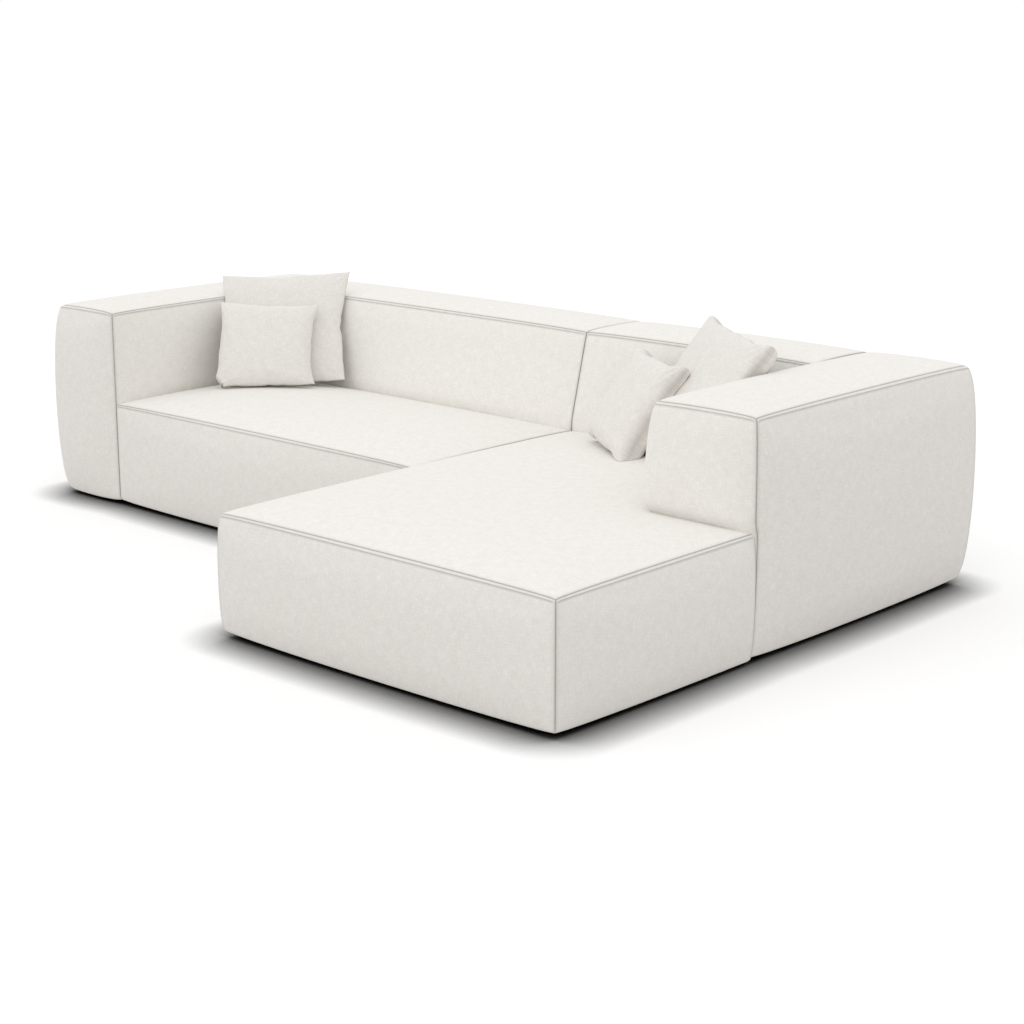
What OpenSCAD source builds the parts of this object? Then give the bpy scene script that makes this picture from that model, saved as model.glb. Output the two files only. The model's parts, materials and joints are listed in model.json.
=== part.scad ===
// L-shaped modular sofa: two modules built of six upholstered blocks, with four loose pillows.
// The plan is laid out from the outer front corner of the left arm, X to the right and Y to the
// rear; the finished part is moved so that its origin is the middle of its footprint on the floor.

/* [Plan] */
// Width of the left arm block
arm_l_w = 310; // [260:5:420]
// Width of the left seat block
seat_l_w = 1496; // [1100:2:1900]
// Width of the lounge seat between the module joint and the right arm
seat_r_w = 914; // [750:2:1200]
// Width of the right arm block
arm_r_w = 350; // [260:5:420]
// Depth of the sofa from the left seat's front to the rear
main_d = 1130; // [1000:5:1300]
// Thickness of the back blocks at their top
back_t = 300; // [240:5:360]
// How far the foot of a back stands forward of its top edge
back_rake = 75; // [20:5:110]
// How far the lounge seat reaches out past the left seat
chaise_len = 770; // [500:5:1000]
// How far the right arm's front stands behind the left seat's front
arm_r_back = 45; // [10:5:110]

/* [Heights] */
// Height of the arms and backs at the corners of their tops
block_h = 694; // [620:2:820]
// Height of the seats at the corners of their tops
seat_h = 368; // [330:2:430]
// Height of the glides that carry the sofa
glide_h = 25; // [15:1:50]

/* [Cover and foam] */
// Thickness of the cover cloth
cover_t = 2; // [1:0.5:4]
// Thickness of the foam on the sides of every block
side_foam = 45; // [42:1:70]
// Thickness of the foam on top of the arms and backs
top_foam = 60; // [30:5:100]
// Thickness of the seat foam slabs at their edges
seat_foam = 160; // [120:5:190]
// Radius to which the covers turn under at the floor
under_r = 30; // [15:1:30]
// Width of the hem that is stapled under a block
hem_w = 20; // [12:1:20]
// Thickness of the dust cloth under the blocks
dust_t = 1; // [0.5:0.5:2]

/* [Crown] */
// How far the tops of the arms crown up
arm_crown = 10; // [4:1:24]
// How far the tops of the backs crown up
back_crown = 12; // [4:1:24]
// How far the seats crown up
seat_crown = 26; // [8:1:40]
// Distance from a seam over which a seat's crown rises
seat_crown_r = 330; // [150:10:400]
// How far the top seams arch up between the corners of a block
seam_arch = 8; // [0:1:14]

/* [Bellies] */
// How far the outer sides of the arms belly out
side_puff = 36; // [8:1:44]
// How far the left arm's front and the rear of both arms belly out
end_puff = 30; // [8:1:36]
// How far the seats' fronts and the rear of the backs belly out
front_puff = 22; // [8:1:30]
// How far the sides of the lounge end belly out
lounge_puff = 20; // [8:1:30]
// How far the right arm bellies out over the lounge seat
stub_puff = 30; // [8:1:36]
// How far the left arm and the backs belly out toward the sitter
inner_puff = 14; // [4:1:20]
// Share of a belly that is left at the front corners of the lounge end
lounge_share = 0.5; // [0.2:0.05:0.8]
// Share of the belly that is left where the lounge end meets the right arm
meeting_share = 0.85; // [0.5:0.05:1]
// Share of the side's belly that is left at the right arm's front
side_share = 0.67; // [0.4:0.01:1]
// Share of the front's belly that is left at the right arm's outer side
stub_share = 0.33; // [0:0.01:0.6]
// Fullness of a belly toward its seams, where 1 is a plain arc and less is fuller
fullness = 0.4; // [0.3:0.05:1]

/* [Frames] */
// Side of the square posts and width of the rails of the arms and backs
rail_w = 45; // [40:1:55]
// Height of the rails of the arms and backs
rail_h = 40; // [36:1:60]
// Thickness of the seat rails, which stand on edge
seat_rail_t = 28; // [24:1:32]
// Thickness of the hardboard skins on the frames
board_t = 5; // [3:1:8]
// Greatest distance between the posts and cross rails
bay = 620; // [400:20:900]

/* [Suspension] */
// Side of the square spring wire
wire = 4; // [3:0.5:5]
// Distance between neighbouring springs
spring_step = 150; // [120:5:200]
// Width of one spring's waves
spring_w = 60; // [40:2:80]
// Distance between the bars of a spring
bar_step = 52; // [40:2:70]
// Thickness of the sheet that the spring clips are bent from
clip_t = 1.5; // [1:0.5:2]
// Width of a spring clip
clip_w = 20; // [14:1:24]
// Thickness of the felt over the springs
felt_t = 3; // [2:0.5:6]

/* [Glides and joining plates] */
// Radius of a glide
glide_r = 20; // [14:1:22]
// Radius of the glide's boss that passes through the dust cloth
boss_r = 10; // [8:1:12]
// Radius of a screw's shank
screw_r = 2.5; // [2:0.25:3]
// Radius of a screw's head
screw_head_r = 5; // [4.5:0.5:6]
// Height of a screw's head
screw_head_h = 3; // [2:0.5:4]
// How deep the screws bite into the rails
screw_bite = 28; // [20:1:32]
// Thickness of the joining plates
plate_t = 3; // [2:0.5:4]
// Width of a joining plate
plate_w = 40; // [30:2:60]
// Width of a module hook where it spans the joint
hook_w = 16; // [10:1:24]
// Radius of the pin that a module hook drops over
pin_r = 3; // [2:0.5:4]

/* [Left large pillow] */
// Its width from corner to corner
ll_w = 455; // [400:10:500]
// Its height from corner to corner
ll_h = 455; // [400:5:480]
// Its thickness
ll_t = 100; // [80:5:130]
// How far its turn faces it out of the corner
ll_turn = 42; // [36:1:46]
// How far it leans back
ll_lean = 32; // [28:1:38]
// How far its right side is rolled up
ll_roll = 2; // [-2:1:4]
// How far it stands out of the corner at the height of the arms
ll_out = 217; // [205:1:260]
// How far it is shifted along its width
ll_aside = 21; // [10:1:40]
// How far it settles below the height of the crown at its tips
ll_settle = 4; // [0:0.1:5]

/* [Left small pillow] */
// Its width from corner to corner
ls_w = 354; // [300:2:400]
// Its height from corner to corner
ls_h = 338; // [300:2:380]
// Its thickness
ls_t = 85; // [70:5:120]
// How far its right side is rolled up
ls_roll = -2; // [-3:1:3]
// How far its foot stands in front of the large pillow's foot
ls_step = 77; // [60:1:110]
// How far it is shifted along its width from the large pillow
ls_aside = -68; // [-120:2:0]
// How far it settles below the height of the crown at its tips
ls_settle = -0.1; // [-0.5:0.1:1]

/* [Right large pillow] */
// Its width from corner to corner
rl_w = 470; // [400:10:500]
// Its height from corner to corner
rl_h = 470; // [400:10:480]
// Its thickness
rl_t = 135; // [80:5:160]
// How far its turn faces it out of the corner
rl_turn = -30; // [-34:1:-26]
// How far it leans back
rl_lean = 35; // [32:1:38]
// How far its right side is rolled up
rl_roll = -5; // [-6:1:0]
// How far it stands out of the corner at the height of the arms
rl_out = 237; // [225:1:300]
// How far it is shifted along its width
rl_aside = -118; // [-140:1:-90]
// How far it settles below the height of the crown at its tips
rl_settle = 2.7; // [0:0.1:4]

/* [Right small pillow] */
// Its width from corner to corner
rs_w = 334; // [300:2:380]
// Its height from corner to corner
rs_h = 336; // [300:2:380]
// Its thickness
rs_t = 110; // [70:5:150]
// How far its right side is rolled up
rs_roll = -3; // [-5:1:0]
// How far its foot stands in front of the large pillow's foot
rs_step = 97; // [60:1:110]
// How far it is shifted along its width from the large pillow
rs_aside = -186; // [-280:2:-160]
// How far it settles below the height of the crown at its tips
rs_settle = 8.9; // [0:0.1:10]

/* [Pillow covers] */
// Thickness of the pillow cloth
pillow_cloth = 1.5; // [1:0.5:2]
// Width of the seam allowance inside a pillow's edge
seam_in = 6; // [4:1:8]
// Share by which a pillow's edges draw in between its corners
draw_in = 0.06; // [0.02:0.01:0.1]
// Share of a pillow's thickness on the side where two pillows meet
nest = 0.4; // [0.15:0.05:0.5]
// Room under the lowest tip of a pillow
pillow_lift = 0.5; // [0.5:0.5:10]

/* [Hidden] */
$fn = 32;

// Clearances
fit = 0.3;
block_gap = 0.4;
pilot_gap = 0.1;
hole_gap = 0.3;

// Places along X and Y
x_seat = arm_l_w;
x_joint = x_seat + seat_l_w;
x_arm_r = x_joint + seat_r_w;
total_w = x_arm_r + arm_r_w;
y_back = main_d - back_t;
y_foot = y_back - back_rake;
y_chaise = -chaise_len;

// Places along Z
underside = glide_h + dust_t + fit;
skirt_z = underside + under_r;
frame_z = underside + cover_t + fit;
rim_z = seat_h + seam_arch;
foot_z = rim_z + seat_crown;
slab_z = seat_h - seat_foam;
felt_z = slab_z - fit - felt_t;
wire_z = felt_z - fit - wire;
deck_z = wire_z - fit - clip_t;
hood_z = block_h - top_foam;

// Everything below is drawn in the plan's own corner and moved to the middle of the footprint
module placed() translate([-total_w / 2, (chaise_len - main_d) / 2, 0]) children();

// Swelling of a face along its run: the shares a and b at the ends, 1 in the middle, 0 outside
function swell(t, a, b) =
    t < 0 || t > 1 ? 0 : let (k = 4 * t * (1 - t)) k + (1 - k) * (a * (1 - t) + b * t);

// Swelling of a face over its height, and rise of a seam between its corners: 0 at the ends
function shoulder(t) = t < 0 || t > 1 ? 0 : pow(4 * t * (1 - t), fullness);

// A side's belly is [depth, from, to, share at from, share at to, lowest z, highest z, flat up to]
no_puff = [0, 0, 1, 0, 0, 0, 1, 0];
function puff(s, along, z) = z <= s[7] ? 0 :
    s[0] * swell((along - s[1]) / (s[2] - s[1]), s[3], s[4]) * shoulder((z - s[5]) / (s[6] - s[5]));

// Grid lines from a to b: one close to each end, where the crown turns down, and n even steps between
seam_step = 60;
function lines(a, b, n) = concat([a], [for (k = [0:n]) a + seam_step + (b - a - 2 * seam_step) * k / n], [b]);

// A block is [x lines, y lines, ix, jy, top z, crown, crown reach, arch, sides, rake]. The notch of
// an L starts at x line ix and y line jy; a plain block has them at its last lines. The sides are
// left, right, front and rear.
function nx(b) = len(b[0]) - 1;
function ny(b) = len(b[1]) - 1;

// The seam around the top, counter-clockwise seen from above, as pairs of grid indices
function rim(b) = let (n = nx(b), m = ny(b), ix = b[2], jy = b[3]) concat(
    [for (i = [0:1:n - 1]) [i, 0]], [for (j = [0:1:jy - 1]) [n, j]],
    [for (i = [n:-1:ix + 1]) [i, jy]], [for (j = [jy:1:m - 1]) [ix, j]],
    [for (i = [ix:-1:1]) [i, m]], [for (j = [m:-1:1]) [0, j]]);

// Outward direction of a rim point along X and along Y, 0 where the rim runs that way
function out_x(b, i, j) =
    i == 0 ? -1 : (i == nx(b) && j <= b[3]) || (i == b[2] && j >= b[3] && b[2] < nx(b)) ? 1 : 0;
function out_y(b, i, j) =
    j == 0 ? -1 : (j == ny(b) && i <= b[2]) || (j == b[3] && i >= b[2] && b[3] < ny(b)) ? 1 : 0;
function in_block(b, i, j) = i < b[2] || j < b[3];

// Distance of a grid point from the nearest seam
function seam_distance(b, i, j) =
    let (x = b[0][i], y = b[1][j], xi = b[0][b[2]], yj = b[1][b[3]],
         right = (j < b[3] ? b[0][nx(b)] : xi) - x, rear = (i < b[2] ? b[1][ny(b)] : yj) - y)
    max(0, min(x - b[0][0], y - b[1][0], right, rear, i < b[2] && j < b[3] ? norm([xi - x, yj - y]) : right));

// Share of a block's run along one axis that lies before a place
function share_of(v, at) = (at - v[0]) / (v[len(v) - 1] - v[0]);
function arch(b, x, y) = b[7] * max(shoulder(share_of(b[0], x)), shoulder(share_of(b[1], y)));
function top_z(b, i, j) = let (t = 1 - min(seam_distance(b, i, j) / b[6], 1))
    b[4] + arch(b, b[0][i], b[1][j]) + b[5] * (1 - t * t);

// The crowned top, d inside the cover's face
function top_grid(b, d) = [for (i = [0:nx(b)], j = [0:ny(b)])
    [b[0][i] - out_x(b, i, j) * d, b[1][j] - out_y(b, i, j) * d, top_z(b, i, j) - d]];

// One point of the wall, d inside the cover's face. A level is [z, inset, share of d inward, share up].
function wall_point(b, i, j, d, l) =
    let (x = b[0][i], y = b[1][j], z = l[0], s = b[8],
         px = i == 0 ? puff(s[0], y, z) : i == nx(b) ? puff(s[1], y, z) : 0,
         py = j == 0 ? puff(s[2], x, z) : j == ny(b) ? puff(s[3], x, z) : 0,
         lean = j == 0 ? b[9] * min(1, max(0, (b[4] - z) / (b[4] - foot_z))) : 0)
    [x + out_x(b, i, j) * (px - l[1] - l[2] * d),
     y + out_y(b, i, j) * (py - l[1] - l[2] * d) - lean,
     z + l[3] * d];
function ring(b, d, l) = [for (p = rim(b)) wall_point(b, p[0], p[1], d, l)];

// A flat section of the block at one level
function flat_grid(b, d, l) = [for (i = [0:nx(b)], j = [0:ny(b)])
    out_x(b, i, j) == 0 && out_y(b, i, j) == 0
        ? [b[0][i], b[1][j], l[0] + l[3] * d]
        : wall_point(b, i, j, d, l)];

// Levels from just under the top seam down to the hem under the block
round_in = 1 - sin(45);
turn_under = [
    [skirt_z, 0, 1, 0],
    [underside + round_in * under_r, round_in * under_r, sin(45), sin(45)],
    [underside, under_r, 0, 1]];
hem = [underside, under_r + hem_w, 0, 1];
function between(low, high, shares) = [for (k = shares) [low + (high - low) * k, 0, 1, 0]];
tall_levels = concat(between(foot_z, block_h, [0.93, 0.8, 0.5, 0]), between(skirt_z, rim_z, [1, 0.5, 0.16]),
    turn_under);
slab_levels = between(slab_z, seat_h, [0.87, 0.5]);
slab_foot = [slab_z, 0, 1, 0];
border_levels = concat([[(slab_z + skirt_z) / 2, 0, 1, 0]], turn_under);
low_levels = concat(slab_levels, [slab_foot], border_levels);

// Skin between a top grid and a bottom grid through a chain of rings, all on one block's lines. The
// first strips run down and the rest up, and both are split along the same diagonals.
module closed(b, top, rings, bottom, down = 99) {
    r = rim(b);
    n = len(r);
    m = ny(b) + 1;
    base = len(top);
    last = base + len(rings) * n;
    chain = concat([[for (p = r) p[0] * m + p[1]]],
        [for (k = [0:1:len(rings) - 1]) [for (q = [0:n - 1]) base + k * n + q]],
        [[for (p = r) last + p[0] * m + p[1]]]);
    cells = [for (i = [0:nx(b) - 1], j = [0:ny(b) - 1]) if (in_block(b, i, j)) i * m + j];
    polyhedron(
        points = concat(top, [for (k = rings) each k], bottom),
        faces = concat(
            [for (c = cells) each [[c, c + 1, c + m + 1], [c, c + m + 1, c + m]]],
            [for (k = [0:len(chain) - 2], q = [0:n - 1]) let (u = chain[k], v = chain[k + 1], p = (q + 1) % n)
                each k < down
                    ? [[u[q], u[p], v[p]], [u[q], v[p], v[q]]]
                    : [[u[q], u[p], v[q]], [u[p], v[p], v[q]]]],
            [for (c = cells) let (o = last + c) each [[o, o + m + 1, o + 1], [o, o + m, o + m + 1]]]),
        convexity = 8);
}

// Skin of a closed loop of rings, for a border that is open above and below
module loop_of(rings) {
    n = len(rings[0]);
    count = len(rings);
    polyhedron(
        points = [for (k = rings) each k],
        faces = [for (k = [0:count - 1], q = [0:n - 1])
            let (u = k * n, v = ((k + 1) % count) * n, p = (q + 1) % n)
            each [[u + q, u + p, v + p], [u + q, v + p, v + q]]],
        convexity = 8);
}

function reversed(l) = [for (k = [len(l) - 1:-1:0]) l[k]];

// Cloth cover: open under the block, with its hem turned in there
module cover(b, levels) {
    all = concat(levels, [hem]);
    color("#e9e6df")
    closed(b, top_grid(b, 0),
        concat([for (l = all) ring(b, 0, l)], [for (l = reversed(all)) ring(b, cover_t, l)]),
        top_grid(b, cover_t), len(all));
}

// The lines of a block's inside, which its foam leaves free: evenly spaced on each side of the notch
function inner_lines(v, k) =
    let (n = len(v) - 1, a = v[0] + side_foam, c = v[k] - side_foam, z = v[n] - side_foam)
    [for (i = [0:n]) i < k ? a + (c - a) * i / k : k == n ? z : c + (z - c) * (i - k) / (n - k)];
function cavity(b, top) =
    [inner_lines(b[0], b[2]), inner_lines(b[1], b[3]), b[2], b[3], top, 0, 1, 0,
        [for (k = [1:4]) no_puff], 0];

// Foam of an arm or a back: a hood over its boarded frame
foam_in = cover_t + fit;
module hood(b, c) color("#f1e2a9")
    closed(b, top_grid(b, foam_in),
        concat([for (l = tall_levels) ring(b, foam_in, l)], [ring(c, 0, [frame_z, 0, 0, 0])]),
        top_grid(c, 0));

// Foam of a seat: a crowned slab on a border
module slab(b) color("#f1e2a9")
    closed(b, top_grid(b, foam_in), [for (l = slab_levels) ring(b, foam_in, l)],
        flat_grid(b, foam_in, slab_foot));
module border(b, c) {
    head = [slab_z - fit, 0, 1, 0];
    color("#dfe6ee") loop_of(concat([ring(b, foam_in, head)], [for (l = border_levels) ring(b, foam_in, l)],
        [ring(c, 0, [frame_z, 0, 0, 0]), ring(c, 0, [slab_z - fit, 0, 0, 0])]));
}

// The six blocks
half = block_gap / 2;
function free_side(depth, a, b, top, end_a, end_b, flat_to = 0) =
    [depth, a, b, end_a, end_b, underside, top, flat_to];
function arm_lines(a, b) = let (mid = (a + b) / 2)
    [a, a + seam_step, (a + seam_step + mid) / 2, mid, y_foot, b - seam_step, b];
left_arm = let (x0 = 0, x1 = x_seat - half, y0 = 0, y1 = main_d) [
    lines(x0, x1, 2), arm_lines(y0, y1), 4, 6, block_h, arm_crown, arm_l_w / 2, seam_arch, [
        free_side(side_puff, y0, y1, block_h, 1, 1),
        free_side(inner_puff, y0, y_foot, block_h, 0, 0, rim_z),
        free_side(end_puff, x0, x1, block_h, 1, 0),
        free_side(end_puff, x0, x1, block_h, 1, 0)], 0];
right_arm = let (x0 = x_arm_r + half, x1 = total_w, y0 = arm_r_back, y1 = main_d) [
    lines(x0, x1, 2), arm_lines(y0, y1), 4, 6, block_h, arm_crown, arm_r_w / 2, seam_arch, [
        free_side(stub_puff, y0, y_foot, block_h, 1, 0, rim_z),
        free_side(side_puff, y0, y1, block_h, side_share, 1),
        free_side(stub_puff, x0, x1, block_h, 1, stub_share, rim_z),
        free_side(end_puff, x0, x1, block_h, 0, 1)], 0];
function back_block(x0, x1) = [
    lines(x0, x1, 4), lines(y_back, main_d, 2), 6, 4, block_h, back_crown, back_t / 2, seam_arch, [
        no_puff, no_puff,
        free_side(inner_puff, x0, x1, block_h, 0, 0, rim_z),
        free_side(front_puff, x0, x1, block_h, 0, 0)], back_rake];
left_back = back_block(x_seat + half, x_joint - half);
right_back = back_block(x_joint + half, x_arm_r - half);
left_seat = let (x0 = x_seat + half, x1 = x_joint - half, y0 = 0, y1 = y_foot - block_gap) [
    lines(x0, x1, 4), lines(y0, y1, 4), 6, 6, seat_h, seat_crown, seat_crown_r, seam_arch, [
        no_puff, no_puff, free_side(front_puff, x0, x1, seat_h, 0, 0), no_puff], 0];
chaise = let (x0 = x_joint + half, xi = x_arm_r - half, x1 = total_w,
              y0 = y_chaise, yj = arm_r_back - block_gap, y1 = y_foot - block_gap) [
    concat(lines(x0, xi, 3), [for (k = [1:3]) lines(xi, x1, 1)[k]]),
    concat([y0], [for (k = [0:3]) (y0 + seam_step) * (1 - k / 3)], lines(yj, y1, 1)),
    5, 5, seat_h, seat_crown, seat_crown_r, seam_arch, [
        free_side(lounge_puff, y0, 0, seat_h, lounge_share, 0),
        free_side(lounge_puff, y0, yj, seat_h, lounge_share, meeting_share),
        free_side(front_puff, x0, x1, seat_h, lounge_share, lounge_share), no_puff], 0];

// Plain box between two limits along each axis
module box(x0, x1, y0, y1, z0, z1) translate([x0, y0, z0]) cube([x1 - x0, y1 - y0, z1 - z0]);

// Room that the foam leaves in a block, as [x from, x to, y from, y to]
function room(b) = [b[0][0] + side_foam + fit, b[0][nx(b)] - side_foam - fit,
                    b[1][0] + side_foam + fit, b[1][ny(b)] - side_foam - fit];
function shrunk(r, d) = [r[0] + d, r[1] - d, r[2] + d, r[3] - d];
function hood_cavity(b) = cavity(b, hood_z);

// Hardboard skins on a tall frame: one on top and one on each side
board_top = hood_z - fit;
frame_top = board_top - board_t - fit;
module boards(b) {
    r = room(b);
    d = board_t + fit;
    color("#a97b4d") {
        box(r[0], r[1], r[2], r[3], board_top - board_t, board_top);
        box(r[0], r[0] + board_t, r[2], r[3], frame_z, frame_top);
        box(r[1] - board_t, r[1], r[2], r[3], frame_z, frame_top);
        box(r[0] + d, r[1] - d, r[2], r[2] + board_t, frame_z, frame_top);
        box(r[0] + d, r[1] - d, r[3] - board_t, r[3], frame_z, frame_top);
    }
}

// Even places for posts between two limits
function post_places(a, z) =
    let (run = z - a - rail_w, n = ceil(run / bay)) [for (k = [0:n]) a + run * k / n];

// Glued timber frame of an arm or a back: posts between a lower and an upper ring of rails
module tall_frame(b) {
    f = shrunk(room(b), board_t + fit);
    xs = post_places(f[0], f[1]);
    ys = post_places(f[2], f[3]);
    color("#d8b27a") difference() {
        union() {
            for (x = xs, y = ys) box(x, x + rail_w, y, y + rail_w, frame_z, frame_top);
            for (z = [frame_z, frame_top - rail_h]) {
                for (x = xs) box(x, x + rail_w, f[2], f[3], z, z + rail_h);
                for (y = ys) box(f[0], f[1], y, y + rail_w, z, z + rail_h);
            }
        }
        pilots();
    }
}

// Lines of the seat frames
seat_room = room(left_seat);
chaise_room = room(chaise);
chaise_xc = x_arm_r - half - side_foam - fit;
chaise_yc = arm_r_back - block_gap - side_foam - fit;

// Glued seat frames: rails on edge, with cross rails
module left_seat_frame_timber() {
    r = seat_room;
    t = seat_rail_t;
    mid = (r[0] + r[1] - t) / 2;
    color("#d8b27a") difference() {
        union() {
            for (x = [r[0], mid, r[1] - t]) box(x, x + t, r[2], r[3], frame_z, deck_z);
            for (y = [r[2], r[3] - t]) box(r[0], r[1], y, y + t, frame_z, deck_z);
        }
        pilots();
    }
}
module chaise_frame_timber() {
    r = chaise_room;
    t = seat_rail_t;
    color("#d8b27a") difference() {
        union() {
            box(r[0], r[0] + t, r[2], r[3], frame_z, deck_z);
            box(r[1] - t, r[1], r[2], chaise_yc, frame_z, deck_z);
            box(chaise_xc - t, chaise_xc, r[2], r[3], frame_z, deck_z);
            box(r[0], r[1], r[2], r[2] + t, frame_z, deck_z);
            box(r[0], r[1], chaise_yc - t, chaise_yc, frame_z, deck_z);
            box(r[0], chaise_xc, r[3] - t, r[3], frame_z, deck_z);
        }
        pilots();
    }
}

// Corner blocks glued into the seat frames, by the place of the corner and the way into the frame
block_top = deck_z - clip_t;
seat_corners = [for (c = [[0, 2, 1, 1], [1, 2, -1, 1], [0, 3, 1, -1], [1, 3, -1, -1]])
    [seat_room[c[0]], seat_room[c[1]], c[2], c[3]]];
chaise_corners = [
    [chaise_room[0], chaise_room[2], 1, 1], [chaise_room[1], chaise_room[2], -1, 1],
    [chaise_room[1], chaise_yc, -1, -1], [chaise_room[0], chaise_room[3], 1, -1],
    [chaise_xc, chaise_room[3], -1, -1]];
function corner_centre(c) = let (d = seat_rail_t + fit + rail_w / 2) [c[0] + c[2] * d, c[1] + c[3] * d];
module corner_blocks(corners) color("#c79c62") difference() {
    for (c = corners) translate([corner_centre(c)[0] - rail_w / 2, corner_centre(c)[1] - rail_w / 2, frame_z])
        cube([rail_w, rail_w, block_top - frame_z]);
    pilots();
}

// Zigzag spring as a flat outline: bars across, joined by links at alternate ends
function meander(n, step, a, w, side) = [for (k = [0:n - 1], e = [-1, 1])
    let (s = k % 2 == 0 ? 1 : -1, open = (k == 0 && e < 0) || (k == n - 1 && e > 0))
    [e * s * a - (open ? 0 : side * w), k * step + side * s * w]];
module spring(x, y0, y1) {
    n = ceil((y1 - y0) / bar_step) + 1;
    step = (y1 - y0) / (n - 1);
    translate([x, y0, wire_z]) linear_extrude(wire)
        polygon(concat(meander(n, step, spring_w / 2, wire / 2, 1),
            reversed(meander(n, step, spring_w / 2, wire / 2, -1))));
}

// Clip on a rail, holding a spring's end bar; way points from the bar to the spring
module clip(x, y, way) {
    back = wire / 2 + fit + clip_t;
    reach = back + wire / 2 + fit;
    top = wire_z + wire + fit;
    y0 = way > 0 ? y - back : y - reach + back;
    translate([x - clip_w / 2, y0, deck_z]) cube([clip_w, reach, clip_t]);
    translate([x - clip_w / 2, y0, top]) cube([clip_w, reach, clip_t]);
    translate([x - clip_w / 2, way > 0 ? y - back : y + back - clip_t, deck_z])
        cube([clip_w, clip_t, top + clip_t - deck_z]);
}

// Bays of the seats, as [x from, x to, y of the front bar, y of the rear bar]
rail_mid = seat_rail_t / 2;
bar_off = seat_rail_t / 4;
seat_bays = [[seat_room[0], seat_room[1], seat_room[2] + rail_mid, seat_room[3] - rail_mid]];
chaise_bays = [
    [chaise_room[0], chaise_room[1], chaise_room[2] + rail_mid, chaise_yc - rail_mid - bar_off],
    [chaise_room[0], chaise_xc, chaise_yc - rail_mid + bar_off, chaise_room[3] - rail_mid]];
function spring_places(v) = let (a = v[0] + seat_rail_t + spring_w, z = v[1] - seat_rail_t - spring_w,
    n = ceil((z - a) / spring_step)) [for (k = [0:n]) a + (z - a) * k / n];
module springs(bays) color("#8d9298")
    for (v = bays, x = spring_places(v)) spring(x, v[2], v[3]);
module clips(bays) color("#b9bcc0")
    for (v = bays, x = spring_places(v), way = [1, -1]) union()
        clip(x, way > 0 ? v[2] : v[3], way);
module felts(bays) color("#9aa08e")
    for (v = bays) box(v[0] + seat_rail_t, v[1] - seat_rail_t, v[2] + seat_rail_t, v[3] - seat_rail_t,
        felt_z, felt_z + felt_t);

// Feet, plates and screws under the frames
plate_z = glide_h - plate_t;
tall_in = half + side_foam + fit + board_t + fit + rail_w / 2;
seat_in = half + side_foam + fit + seat_rail_t / 2;
function tall_corner(b, sx, sy) = let (r = room(b), g = board_t + fit + rail_w / 2)
    [sx < 0 ? r[0] + g : r[1] - g, sy < 0 ? r[2] + g : r[3] - g];
glide_places = [
    tall_corner(left_arm, -1, -1), tall_corner(left_arm, -1, 1), tall_corner(left_back, 1, 1),
    corner_centre(seat_corners[0]), corner_centre(seat_corners[1]),
    corner_centre(chaise_corners[0]), corner_centre(chaise_corners[1]), corner_centre(chaise_corners[2]),
    tall_corner(right_back, -1, 1), tall_corner(right_arm, 1, 1), tall_corner(right_arm, 1, -1)];

// Joining plates, as [x, y, turn, reach before the joint, reach after the joint]
back_in = back_rake + tall_in;
y_plate = (y_back + main_d) / 2;
plates = [
    [x_seat, main_d / 4, 0, tall_in, seat_in], [x_seat, y_plate, 0, tall_in, tall_in],
    [(x_seat + x_joint) / 2 + seat_l_w / 4, y_foot, 90, seat_in + half, back_in],
    [(x_joint + x_arm_r) / 2, y_foot, 90, seat_in + half, back_in],
    [x_arm_r, y_plate, 0, tall_in, tall_in], [x_arm_r, main_d / 3, 0, seat_in, tall_in],
    [(x_arm_r + total_w) / 2, arm_r_back, 90, seat_in + half, tall_in]];
function turned(p, d) = p[2] == 0 ? [p[0] + d, p[1]] : [p[0], p[1] + d];
plate_screw_places = [for (p = plates) each [turned(p, -p[3]), turned(p, p[4])]];

// Module hooks, as [y, reach into each module]
hooks = [[main_d / 5, seat_in], [y_plate, tall_in]];
hook_screw_y = plate_w / 2;
connector_screw_places = [for (h = hooks, sx = [-1, 1], sy = [-1, 1])
    [x_joint + sx * h[1], h[0] + sy * hook_screw_y]];

// A screw's head is under the plate or in the glide, and its shank reaches up into a rail
module screw(p, z) translate([p[0], p[1], 0]) {
    translate([0, 0, z - screw_head_h]) cylinder(r = screw_head_r, h = screw_head_h);
    translate([0, 0, z]) cylinder(r = screw_r, h = frame_z + screw_bite - z);
}
module pilots() for (p = concat(glide_places, plate_screw_places, connector_screw_places))
    translate([p[0], p[1], frame_z - 1]) cylinder(r = screw_r + pilot_gap, h = screw_bite + 2);

// Moulded glide with a sunk screw
sink = glide_h / 3;
module glide(p) translate([p[0], p[1], 0]) difference() {
    union() {
        cylinder(r = glide_r, h = glide_h);
        cylinder(r = boss_r, h = frame_z);
    }
    translate([0, 0, -1]) cylinder(r = screw_r + hole_gap, h = frame_z + 2);
    translate([0, 0, -1]) cylinder(r = screw_head_r + hole_gap, h = sink + 1);
}

module joining_plate(p) translate([p[0], p[1], plate_z]) rotate([0, 0, p[2]]) difference() {
    translate([-p[3] - plate_w / 3, -plate_w / 2, 0]) cube([p[3] + p[4] + plate_w * 2 / 3, plate_w, plate_t]);
    for (d = [-p[3], p[4]]) translate([d, 0, -1]) cylinder(r = screw_r + hole_gap, h = plate_t + 2);
}

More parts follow.
